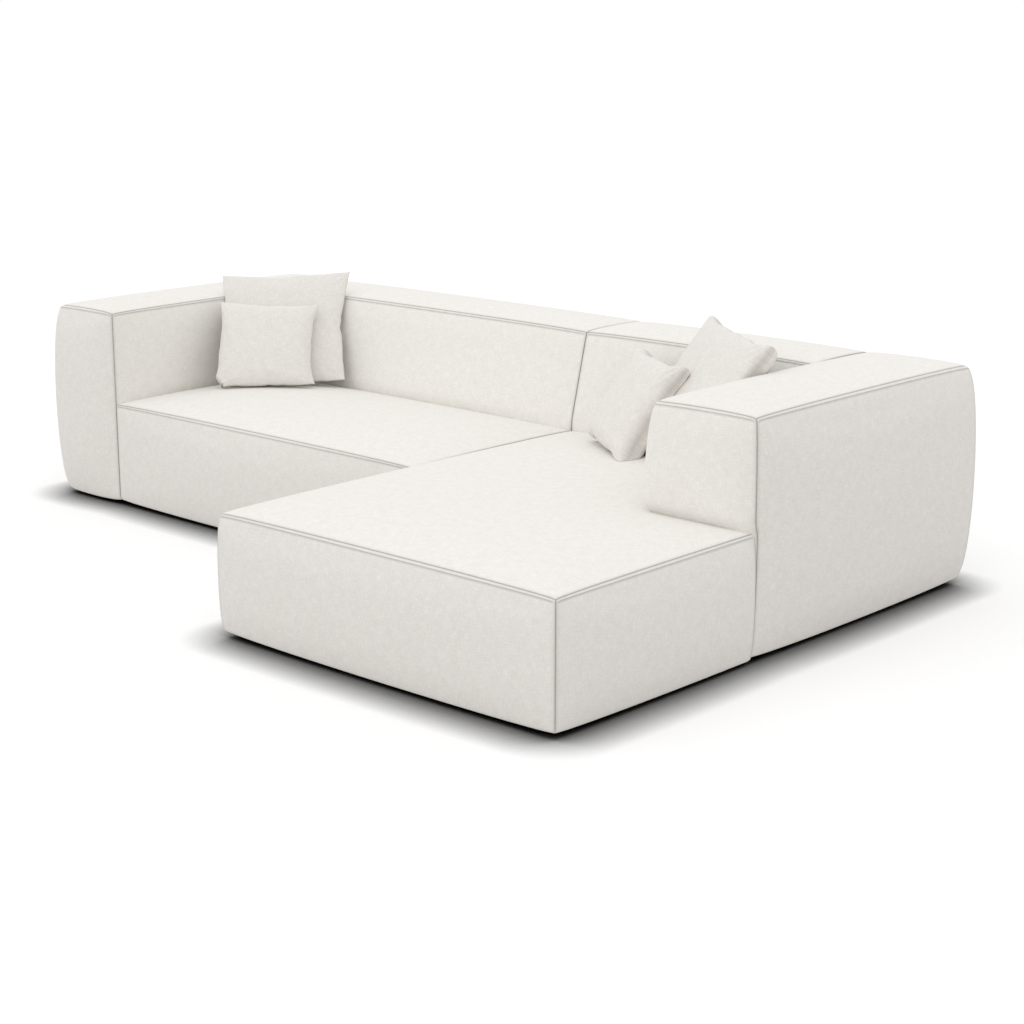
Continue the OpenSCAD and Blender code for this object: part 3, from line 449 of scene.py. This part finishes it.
def upholstered(name, outline, seam_z, crown, reach, bellies, rake=None, rounded=None,
                levels=(), hidden=()):
    """A padded block over an outline. bellies gives a Belly by side; a side without one stands
    against a neighbour and stays flat. rake is how far a front's foot stands out and how high it
    is, rounded is a corner without a seam, as (x, y, lowest z), levels are heights that need a
    line of the grid, and hidden names the solids that the block dresses."""
    planes = side_planes(outline)
    bm = blank(outline, UNDERSIDE, seam_z, levels)
    held = mark_seams(bm, planes, bellies, seam_z, rounded)
    fill_out(bm, outline, planes, seam_z, crown, reach, bellies, rake, rounded)
    mesh = bpy.data.meshes.new(name)
    bm.verts.index_update()
    pinned = [v.index for v in held]
    bm.to_mesh(mesh)
    bm.free()
    obj = add_object(name, mesh)
    stretch(obj, pinned)
    bm = bmesh.new()
    bm.from_mesh(mesh)
    sew(bm)
    bm.to_mesh(mesh)
    bm.free()
    weave_map(mesh)
    soften(obj)
    mesh.materials.append(sofa_linen)
    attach(obj, "sofa")
    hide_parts(*hidden)


# How far the blocks' faces bulge. The solids' boxes reach out to these bulges, and the places of
# the seams follow from them.
LOUNGE_BELLY = 0.020
FRONT_BELLY = 0.022
SIDE_BELLY = 0.036
BLOCK_GAP = 0.0004
ARM_SET_BACK = 0.045
lounge_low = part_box("chaise_cover")[0]
seat_low, seat_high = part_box("left_seat_cover")
arm_l_low, arm_l_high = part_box("left_arm_cover")
arm_r_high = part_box("right_arm_cover")[1]
back_l_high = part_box("left_back_cover")[1]
back_r_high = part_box("right_back_cover")[1]
UNDERSIDE = lounge_low.z - UNDER_LOOSE
x_left = arm_l_low.x + SIDE_BELLY
x_seat = seat_low.x
x_joint = seat_high.x + BLOCK_GAP / 2
x_stub = back_r_high.x
x_right = arm_r_high.x - SIDE_BELLY
y_lounge = lounge_low.y + FRONT_BELLY
y_front = seat_low.y + FRONT_BELLY
y_stub = y_front + ARM_SET_BACK
y_foot = seat_high.y
y_rear = back_l_high.y - FRONT_BELLY
seat_crest = seat_high.z
seat_rim = seat_crest - SEAT_CROWN
seat_seam = seat_rim - SEAM_ARCH
lounge_x = x_joint + BLOCK_GAP / 2
lounge_y = y_stub - BLOCK_GAP
upholstered(
    "lounge_block", [(lounge_x, y_lounge), (x_right, y_lounge), (x_right, lounge_y),
                     (x_stub, lounge_y), (x_stub, y_foot), (lounge_x, y_foot)],
    seat_seam, SEAT_CROWN, SEAT_REACH,
    {0: Belly(FRONT_BELLY, lounge_x, x_right, 0.5, 0.5),
     1: Belly(LOUNGE_BELLY, y_lounge, lounge_y, 0.5, 0.8),
     5: Belly(LOUNGE_BELLY, y_lounge, y_front, 0.5, 0)},
    hidden=["chaise_cover"])

# Left seat
# One padded block of foam on springs in the same linen, between the left arm and the lounge end
# and flush with the arm's front. Only its front bulges, because its other sides stand against
# their neighbours.
seat_right = x_joint - BLOCK_GAP / 2


def rectangle(x0, x1, y0, y1):
    """A plain outline, whose sides 0 to 3 are the front, the right, the rear and the left."""
    return [(x0, y0), (x1, y0), (x1, y1), (x0, y1)]


upholstered(
    "left_seat_block", rectangle(x_seat, seat_right, y_front, y_foot), seat_seam, SEAT_CROWN,
    SEAT_REACH, {0: Belly(FRONT_BELLY, x_seat, seat_right, 0, 0)}, hidden=["left_seat_cover"])

# Arms
# Full-depth blocks of foam over a boarded frame. One front edge of each is turned round without a
# seam: the left arm's outer one and the right arm's inner one, which stands over the lounge seat.
ARM_CROWN = 0.010
END_BELLY = 0.030
STUB_BELLY = 0.030
INNER_BELLY = 0.014
arm_seam = arm_l_high.z - ARM_CROWN - SEAM_ARCH
arm_l_right = x_seat - BLOCK_GAP
upholstered(
    "left_arm_block", rectangle(x_left, arm_l_right, y_front, y_rear), arm_seam, ARM_CROWN,
    (arm_l_right - x_left) / 2,
    {0: Belly(END_BELLY, x_left, arm_l_right, 1, 0),
     1: Belly(INNER_BELLY, y_front, y_foot, 0, 0, seat_rim),
     2: Belly(END_BELLY, x_left, arm_l_right, 1, 0),
     3: Belly(SIDE_BELLY, y_front, y_rear, 1, 1)},
    rounded=(x_left, y_front, 0), levels=[seat_rim], hidden=["left_arm_cover"])
arm_r_left = x_stub + BLOCK_GAP
upholstered(
    "right_arm_block", rectangle(arm_r_left, x_right, y_stub, y_rear), arm_seam, ARM_CROWN,
    (x_right - arm_r_left) / 2,
    {0: Belly(STUB_BELLY, arm_r_left, x_right, 1, 0.33, seat_rim),
     1: Belly(SIDE_BELLY, y_stub, y_rear, 0.45, 1),
     2: Belly(END_BELLY, arm_r_left, x_right, 0, 1),
     3: Belly(STUB_BELLY, y_stub, y_foot, 1, 0, seat_rim)},
    rounded=(arm_r_left, y_stub, seat_rim), levels=[seat_rim], hidden=["right_arm_cover"])

# Backs
# Two padded blocks, foam over a boarded frame in the same linen, fixed behind the seats between
# the arms. Their fronts rake forward from the top seam down to the seats.
BACK_CROWN = 0.012
BACK_RAKE = 0.075
back_front = y_foot + BLOCK_GAP + BACK_RAKE


def back_block(name, x0, x1, node):
    upholstered(
        name, rectangle(x0, x1, back_front, y_rear), arm_seam, BACK_CROWN,
        (y_rear - back_front) / 2,
        {0: Belly(INNER_BELLY, x0, x1, 0, 0, seat_rim),
         2: Belly(FRONT_BELLY, x0, x1, 0, 0)},
        rake=(BACK_RAKE, seat_crest), levels=[seat_rim], hidden=[node])


back_block("left_back_block", x_seat, x_joint - BLOCK_GAP / 2, "left_back_cover")
back_block("right_back_block", x_joint + BLOCK_GAP / 2, x_stub, "right_back_cover")

# Foam
# Open-cell polyurethane, cut from slabs and glued on the frames, 45 mm thick on the sides. Its
# pale cream comes from the fresh foam, and it is trimmed wherever the stretched covers press it.
FOAM_CELL = 0.0016
FOAM_CREAM = "#F0E6BE"
FOAM_CELL_SHADE = "#DCCE9C"


def finish(name, tones, pattern, relief, rough, **skin):
    """A material of two tones laid by a pattern of the real size, which its relief follows."""
    made, tree = new_material(name)
    value = pattern(tree, add_node(tree, "ShaderNodeTexCoord").outputs["Object"])
    toned = add_node(tree, "ShaderNodeMix", {"data_type": "RGBA"}, i0=value,
                     i6=linear(tones[0]), i7=linear(tones[1]))
    gloss = add_node(tree, "ShaderNodeMapRange", Value=value, To_Min=rough[0], To_Max=rough[1])
    raised = add_node(tree, "ShaderNodeBump", Strength=0.6, Distance=relief, Height=value)
    shader = add_node(tree, "ShaderNodeBsdfPrincipled", Base_Color=toned.outputs[2],
                      Roughness=gloss.outputs[0], Normal=raised.outputs[0], **skin)
    add_node(tree, "ShaderNodeOutputMaterial", Surface=shader.outputs[0])
    return made


def coat(material, *names):
    """Gives CAD nodes their finish. A name without a block stands for that piece of each one."""
    for node, obj in frame["nodes"].items():
        if any(node.endswith(name) for name in names):
            obj.data.materials.clear()
            obj.data.materials.append(material)


# Cut cells give it a pitted, dead matte face, with painted shade darkening the bottom of each pit
foam = finish("polyurethane_foam", (FOAM_CELL_SHADE, FOAM_CREAM),
              lambda tree, place: add_node(tree, "ShaderNodeTexVoronoi", Vector=place,
                                           Scale=1 / FOAM_CELL).outputs[0],
              relief=0.0004, rough=(0.95, 0.85))
coat(foam, "_foam", "_foam_slab", "_foam_border")

# How far the padding stays inside its cover, from how deep it is looked for, and which of its
# edges are long enough to be cut finer
SLACK = 0.003
TRIM_REACH = 0.025
LONG_EDGE = 0.04


def trimmed(node, cover, body):
    """A finer copy of the padding under a cover, cut back wherever it would touch the cover."""
    mesh = frame["nodes"][node].data.copy()
    bm = bmesh.new()
    bm.from_mesh(mesh)
    bmesh.ops.remove_doubles(bm, verts=bm.verts, dist=1e-6)
    long = [e for e in bm.edges if e.calc_length() > LONG_EDGE]
    bmesh.ops.subdivide_edges(bm, edges=long, cuts=3, use_grid_fill=True)
    for v in bm.verts:
        found, place, normal, _ = cover.closest_point_on_mesh(v.co, distance=TRIM_REACH)
        if found and (place - v.co).dot(normal) < SLACK:
            v.co = place - normal * SLACK
    bm.to_mesh(mesh)
    bm.free()
    obj = add_object(node + "_trimmed", mesh)
    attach(obj, body)
    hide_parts(node)


for part in ("left_arm", "right_arm", "left_back", "right_back"):
    trimmed(part + "_foam", bpy.data.objects[part + "_block"], "sofa")

# Frames
# Rails, posts and corner blocks of planed pine, glued and screwed, with thin hardboard skins that
# keep the arms' and backs' foam flat.
PINE_LATE = "#C39A62"
PINE_EARLY = "#DDBE8A"
PINE_RING = 0.004
BOARD_DARK = "#8A6038"
BOARD_LIGHT = "#A97C4C"
BOARD_BUNDLES = 90.0


def rings(tree, place):
    """Growth rings round an axis that leans a little, so that each member shows long figure."""
    laid = add_node(tree, "ShaderNodeMapping", i0=place, Rotation=(0.35, 0.25, 0.8))
    return add_node(tree, "ShaderNodeTexWave", {"wave_type": "RINGS", "rings_direction": "Z"},
                    Vector=laid.outputs[0], Scale=0.5 / PINE_RING / math.pi, Distortion=9.0,
                    Detail=3.0, Detail_Scale=0.6).outputs["Fac"]


def grain(per_metre, detail=3.0, stretch=(1, 1, 1)):
    """A pattern of noise with so many grains to the metre, drawn out along the axes."""
    def pattern(tree, place):
        laid = add_node(tree, "ShaderNodeMapping", i0=place, Scale=stretch)
        return add_node(tree, "ShaderNodeTexNoise", Vector=laid.outputs[0], Scale=per_metre,
                        Detail=detail).outputs[0]
    return pattern


# Planed, unvarnished: dark late wood between pale early wood, with a dull shine
coat(finish("planed_pine", (PINE_EARLY, PINE_LATE), rings, relief=0.0002, rough=(0.62, 0.5)),
     "_frame", "_corner_blocks")
# Fibre bundles of about 11 mm, pressed hard and even and a little polished by the press plate
coat(finish("hardboard", (BOARD_DARK, BOARD_LIGHT), grain(BOARD_BUNDLES, 6.0),
            relief=0.0001, rough=(0.55, 0.42)), "_boards")

# Springs and felt
# Zigzag springs of drawn steel wire in clips along the seat rails, under a needled felt that
# keeps them from wearing the foam.
WIRE_DARK = "#5A6068"
WIRE_LIGHT = "#8D949C"
ZINC_DARK = "#A3A9AE"
ZINC_LIGHT = "#C6CBCF"
FELT_DARK = "#747A70"
FELT_LIGHT = "#A3A89C"
# All per metre
DRAW_LINES = 900.0
FELT_FIBRES = 420.0
ZINC_SPANGLES = 450.0
# Drawing leaves lines of about 1 by 11 mm, and heat treatment a blue-grey skin
coat(finish("spring_steel_wire", (WIRE_DARK, WIRE_LIGHT), grain(DRAW_LINES, stretch=(1, 0.1, 1)),
            relief=0.00005, rough=(0.42, 0.3), Metallic=1.0), "_springs")
# Short reclaimed fibres in grey and green, tangled by needles 2.4 mm apart into a soft mat
coat(finish("needled_felt", (FELT_DARK, FELT_LIGHT), grain(FELT_FIBRES, 8.0),
            relief=0.0008, rough=(1.0, 0.9), Sheen_Weight=0.3), "_felt")
# Electroplated zinc: bluish silver in a faint spangle of 2.2 mm
zinc = finish("zinc_plated_steel", (ZINC_DARK, ZINC_LIGHT),
              lambda tree, place: add_node(tree, "ShaderNodeTexVoronoi", Vector=place,
                                           Scale=ZINC_SPANGLES).outputs["Color"],
              relief=0.00003, rough=(0.38, 0.26), Metallic=1.0)
coat(zinc, "_spring_clips")

# Underside
# A thin black non-woven cloth, stapled over the bottom of each block to keep the dust out, and
# moulded plastic glides on screws, which the sofa stands on.
CLOTH_BLACK = "#262524"
CLOTH_BOND = "#3A3938"
BOND_PITCH = 0.003
GLIDE_BLACK = "#232326"
GLIDE_WORN = "#313135"
SPARK_PITS = 1400.0
# Heat-bonded dots in rows, a little glossier than the loose fibre between them
coat(finish("spunbond_cloth", (CLOTH_BOND, CLOTH_BLACK),
            lambda tree, place: add_node(tree, "ShaderNodeTexVoronoi", {"voronoi_dimensions": "2D"},
                                         Vector=place, Scale=1 / BOND_PITCH,
                                         Randomness=0.0).outputs[0],
            relief=0.0002, rough=(0.7, 0.95)), "_dust_cloth")
# Injection-moulded with a spark texture of 0.7 mm
coat(finish("moulded_black_plastic", (GLIDE_BLACK, GLIDE_WORN), grain(SPARK_PITS, 2.0),
            relief=0.00006, rough=(0.42, 0.5)), "glides")

# Fastenings
# Zinc-plated screws and joining plates hold each block together, and coated steel hooks and
# catches join block to block.
COAT_BLACK = "#2E3034"
COAT_SHEEN = "#3B3E43"
PEEL_DIMPLES = 700.0
coat(zinc, "screws", "joining_plates")
# Powder coat: an orange peel of 1.4 mm over the steel, with painted sheen on its peaks
coat(finish("black_coated_steel", (COAT_BLACK, COAT_SHEEN), grain(PEEL_DIMPLES, 2.0),
            relief=0.00008, rough=(0.5, 0.4)), "module_hooks", "module_catches")

# Pillows
# Knife-edged covers of the same linen, stuffed with loose fibre. Each is cut flat, sewn round and
# filled, which draws its edges in between the corners and puckers them.
PILLOW_LINEN = "#E5E1DC"
PILLOW_SLUB = "#EDEAE5"
PILLOW_SHADE = "#E0DCD7"
FIBRE_WHITE = "#F6F4EE"
FIBRE_SHADE = "#DEDBD3"
FIBRE_TUFTS = 120.0
# Tufts of crimped polyester fibre, about 8 mm thick, blown in loose; painted shade in the hollows
coat(finish("polyester_fibre", (FIBRE_SHADE, FIBRE_WHITE), grain(FIBRE_TUFTS, 8.0),
            relief=0.003, rough=(1.0, 0.9)), "_filling")
# The sofa's cloth, painted a little darker as shade on the pillows
pillow_linen_painted_shade = linen("ivory_pillow_linen", PILLOW_LINEN, PILLOW_SLUB, PILLOW_SHADE)

# The grid of each sheet, closer towards its edges by the share CROWDING, its depth before it is
# filled, and how much painted shade its edge seam takes
PILLOW_CELLS = 60
CROWDING = 0.4
START_PUFF = 0.02
RIM_PAINTED_SHADE = 0.35
# How much of the simulated cloth's unevenness stays, the gathers that fan out of a corner, and
# the middle share of each side that counts as its waist
CRUMPLE = 0.35
GATHERS = 0.2
GATHER_REACH = 0.06
GATHER_WAVES = 14
WAIST = 0.06
# The clearance from what a pillow lies on, and how deep inside it a point is still pushed out
CLEAR = 0.001
PUSH_REACH = 0.12


def ear_tip(x, z, half_x, half_z, radius):
    """Rounds the tips of a sheet's corners, where the cover is turned out over its seam."""
    dx, dz = abs(x) - half_x + radius, abs(z) - half_z + radius
    if dx <= 0 or dz <= 0:
        return x, z
    share = max(dx, dz) / math.hypot(dx, dz) - 1
    return x + math.copysign(dx * share, x), z + math.copysign(dz * share, z)


def sewn_flat(name, width, height):
    """Two sheets joined round their edge, a little apart in the middle. Also gives the edge's
    points and where each point lies on its sheet, from -1 to 1, with 1 for the front and -1
    behind."""
    bm = bmesh.new()
    turn = Matrix.Rotation(math.pi / 2, 4, "X")
    for way in (-1, 1):
        sheet = bmesh.ops.create_grid(bm, x_segments=PILLOW_CELLS, y_segments=PILLOW_CELLS,
                                      size=0.5, matrix=turn)
        if way > 0:
            faces = {f for v in sheet["verts"] for f in v.link_faces}
            bmesh.ops.reverse_faces(bm, faces=list(faces))
        for v in sheet["verts"]:
            u, w = ((1 - CROWDING) * t + CROWDING * math.sin(math.pi / 2 * t)
                    for t in (2 * v.co.x, 2 * v.co.z))
            v.co.x, v.co.z = u / 2, w / 2
            v.co.y = way * START_PUFF * math.sqrt(max(0, (1 - u * u) * (1 - w * w)))
    bmesh.ops.scale(bm, verts=bm.verts, vec=(width, 1, height))
    cut = bm.loops.layers.uv.new("weave")
    for face in bm.faces:
        for loop in face.loops:
            loop[cut].uv = (loop.vert.co.x, loop.vert.co.z)
    bmesh.ops.remove_doubles(bm, verts=bm.verts, dist=1e-4)
    painted_seam_shade = bm.verts.layers.float.new("painted_seam_shade")
    rim = [v for v in bm.verts if abs(v.co.y) < 1e-6]
    # The edge seam takes painted shade
    for v in rim:
        v[painted_seam_shade] = RIM_PAINTED_SHADE
    bm.verts.index_update()
    rim = [v.index for v in rim]
    flat = [(2 * v.co.x / width, 2 * v.co.z / height, -1 if v.co.y > 0 else 1) for v in bm.verts]
    mesh = bpy.data.meshes.new(name)
    bm.to_mesh(mesh)
    bm.free()
    return mesh, rim, flat


def push_out(mesh, obj):
    """Keeps a mesh's points off another piece, as the filling gives way to what it lies on."""
    for v in mesh.vertices:
        found, place, normal, _ = obj.closest_point_on_mesh(v.co, distance=PUSH_REACH)
        if found and (v.co - place).dot(normal) < CLEAR:
            v.co = place + normal * CLEAR


def lean(name, roll):
    """Where a pillow's solid leans: its directions across, out of its face and up, and its
    middle, size and reach before and behind its edge."""
    corners = [v.co for v in frame["nodes"][name + "_cover"].data.vertices]
    slide = next(j["axis"] for j in frame["joints"] if j["name"] == name + "_lift")
    axis = Vector(slide).normalized()
    level = Vector((-axis.y, axis.x, 0)).normalized()
    turn = Matrix.Rotation(math.radians(roll), 3, axis)
    across, rise = turn @ level, turn @ axis.cross(level)
    (x0, x1), (y0, y1), (z0, z1) = (
        (min(heights), max(heights))
        for heights in ([co.dot(line) for co in corners] for line in (across, axis, rise)))
    rim_at = max(corners, key=lambda co: co.dot(across) + co.dot(rise)).dot(axis)
    middle = across * (x0 + x1) / 2 + axis * rim_at + rise * (z0 + z1) / 2
    return across, axis, rise, middle, (x1 - x0, z1 - z0), (y1 - rim_at, rim_at - y0)


def waists(mesh, rim, centre, half):
    """How far the sewn edge still reaches out half way along its sides, as a share of the size."""
    return [max(abs(mesh.vertices[k].co[a] - centre[a]) for k in rim
                if abs(mesh.vertices[k].co[2 - a] - centre[2 - a]) < WAIST * half[2 - a]) / half[a]
            for a in (0, 2)]


def fan(u, w, side):
    """The gathers out of a sheet's corners, as a share of its height there."""
    to_side, to_top = 1 - abs(u), 1 - abs(w)
    return (math.exp(-(to_side ** 2 + to_top ** 2) / GATHER_REACH)
            * math.cos(GATHER_WAVES * math.atan2(to_top, to_side) + side))


def pillow(name, roll, flatness, draw_in, ear, slump, pulls, beside):
    """Sews and fills a pillow lying flat, then sets it where its solid leans. A low flatness
    fills it up to its corners, draw_in is how far its edges come in between them, ear rounds
    them, and slump is how far its filling settles low behind. pulls moves corners, as
    (u, w): (metres across, metres up), and beside names what it lies on."""
    across, axis, rise, middle, (width, height), (before, behind) = lean(name, roll)
    mesh, rim, flat = sewn_flat(name, width, height)
    obj = add_object(name, mesh)
    placed = simulate(obj, frames=22, pressure=2.5, stiffness=15.0, bending=0.05)
    for v, place in zip(mesh.vertices, placed):
        v.co = place
    # The filled cover is brought to its solid's size, and most of the way to an even plump form
    low = Vector([min(v.co[a] for v in mesh.vertices) for a in range(3)])
    high = Vector([max(v.co[a] for v in mesh.vertices) for a in range(3)])
    centre, half = (low + high) / 2, (high - low) / 2
    centre.y = sum(mesh.vertices[k].co.y for k in rim) / len(rim)
    waist = waists(mesh, rim, centre, half)
    for v, (u0, w0, side) in zip(mesh.vertices, flat):
        u, w = (v.co.x - centre.x) / half.x, (v.co.z - centre.z) / half.z
        lift = (centre.y - v.co.y) / (centre.y - low.y if v.co.y < centre.y else high.y - centre.y)
        u, w = (u * (1 - draw_in * (1 - w * w)) / (1 - (1 - waist[0]) * (1 - w * w)),
                w * (1 - draw_in * (1 - u * u)) / (1 - (1 - waist[1]) * (1 - u * u)))
        plump = side * max(0, (1 - u0 * u0) * (1 - w0 * w0)) ** flatness
        u += (1 - CRUMPLE) * (u0 * (1 - draw_in * (1 - w0 * w0)) - u)
        w += (1 - CRUMPLE) * (w0 * (1 - draw_in * (1 - u0 * u0)) - w)
        lift += (1 - CRUMPLE) * (plump - lift)
        lift *= 1 + GATHERS * fan(u0, w0, side)
        lift *= before if lift > 0 else behind * (1 + slump * (1 - w) / 2)
        x, z = ear_tip(u * width / 2, w * height / 2, width / 2, height / 2, ear)
        for (su, sw), (sideways, upwards) in pulls.items():
            share = max(0, (1 + su * u) * (1 + sw * w) / 4) ** 3
            x, z = x + sideways * share, z + upwards * share
        v.co = middle + across * x + rise * z + axis * lift
    for piece in beside:
        push_out(mesh, bpy.data.objects[piece])
    soften(obj)
    mesh.materials.append(pillow_linen_painted_shade)
    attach(obj, name)
    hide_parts(name + "_cover")
    trimmed(name + "_filling", obj, name)


# The left pillows have sharp, drawn corners, and the right ones are stuffed up into theirs
pointed = {"flatness": 0.42, "draw_in": 0.06, "ear": 0.008}
stuffed = {"flatness": 0.15, "draw_in": 0.02, "ear": 0.07}
pillow("left_large_pillow", roll=2, **pointed, slump=0,
       pulls={(1, 1): (0.020, 0), (1, -1): (0, 0.024)},
       beside=["left_seat_block", "left_arm_block"])
pillow("left_small_pillow", roll=-2, **pointed, slump=0,
       pulls={(1, 1): (0.008, 0), (1, -1): (0.014, 0.028)},
       beside=["left_seat_block", "left_arm_block", "left_large_pillow"])
pillow("right_large_pillow", roll=-5, **stuffed, slump=0.2,
       pulls={(-1, 1): (0.004, -0.022), (1, 1): (-0.022, -0.004)},
       beside=["lounge_block", "right_arm_block"])
pillow("right_small_pillow", roll=-3, **stuffed, slump=0.9,
       pulls={(-1, -1): (0.045, 0.028), (1, -1): (0.010, 0.010), (-1, 1): (0.010, -0.018),
              (1, 1): (-0.006, 0)},
       beside=["right_large_pillow", "lounge_block", "right_arm_block"])

# Studio
# A white floor under a pale sky of light, with one weak, wide lamp from the front. The floor keeps
# the sofa's dark shadow, and has a painted shadow that darkens it where the sofa stands close over
# it.
FLOOR = "#FFFFFF"
FLOOR_BOUNCE = "#C8C7C5"
SHADOW_REACH = 0.15
SHADOW_DEPTH = 2.3
FLOOR_REACH = 30
SKY_LIGHT = 0.93
LAMP_LIGHT = 0.5
LAMP_SPREAD = math.radians(100)
LAMP_TURN = (math.radians(32), math.radians(-6), 0)


def background_seen(tree):
    """1 where the camera sees the background, by itself or in metal or glass, and 0 elsewhere."""
    seen = add_node(tree, "ShaderNodeLightPath")
    mirrored = add_node(tree, "ShaderNodeMath", {"operation": "MAXIMUM"},
                        i0=seen.outputs["Is Glossy Ray"], i1=seen.outputs["Is Transmission Ray"])
    return add_node(tree, "ShaderNodeMath", {"operation": "MAXIMUM"},
                    i0=seen.outputs["Is Camera Ray"], i1=mirrored.outputs[0]).outputs[0]


floor_mesh = bpy.data.meshes.new("floor")
bm = bmesh.new()
bmesh.ops.create_grid(bm, x_segments=1, y_segments=1, size=FLOOR_REACH)
bm.to_mesh(floor_mesh)
bm.free()
floor = add_object("floor", floor_mesh)
floor_paint, tree = new_material("white_floor")
# Painted shadow: ambient occlusion darkens the floor's own colour near the sofa
closed = add_node(tree, "ShaderNodeAmbientOcclusion", {"samples": 8}, Distance=SHADOW_REACH)
open_share = add_node(tree, "ShaderNodeMath", {"operation": "POWER"}, i0=closed.outputs["AO"],
                      i1=SHADOW_DEPTH)
white = add_node(tree, "ShaderNodeMix", {"data_type": "RGBA"}, i0=open_share.outputs[0],
                 i6=(0, 0, 0, 1), i7=linear(FLOOR))
paint = add_node(tree, "ShaderNodeMix", {"data_type": "RGBA"}, i0=background_seen(tree),
                 i6=linear(FLOOR_BOUNCE), i7=white.outputs[2])
diffuse = add_node(tree, "ShaderNodeBsdfDiffuse", Color=paint.outputs[2])
add_node(tree, "ShaderNodeOutputMaterial", Surface=diffuse.outputs[0])
floor_mesh.materials.append(floor_paint)

world = bpy.data.worlds.new("studio")
world.use_nodes = True
tree = world.node_tree
tree.nodes.clear()
level = add_node(tree, "ShaderNodeMapRange", Value=background_seen(tree), To_Min=SKY_LIGHT,
                 To_Max=1.0)
sky = add_node(tree, "ShaderNodeBackground", Color=(1, 1, 1, 1), Strength=level.outputs[0])
add_node(tree, "ShaderNodeOutputWorld", Surface=sky.outputs[0])
bpy.context.scene.world = world

lamp = bpy.data.lights.new("overhead", "SUN")
lamp.energy = LAMP_LIGHT
lamp.angle = LAMP_SPREAD
overhead = add_object("overhead", lamp)
overhead.rotation_euler = LAMP_TURN
bpy.context.scene.view_settings.view_transform = "Standard"
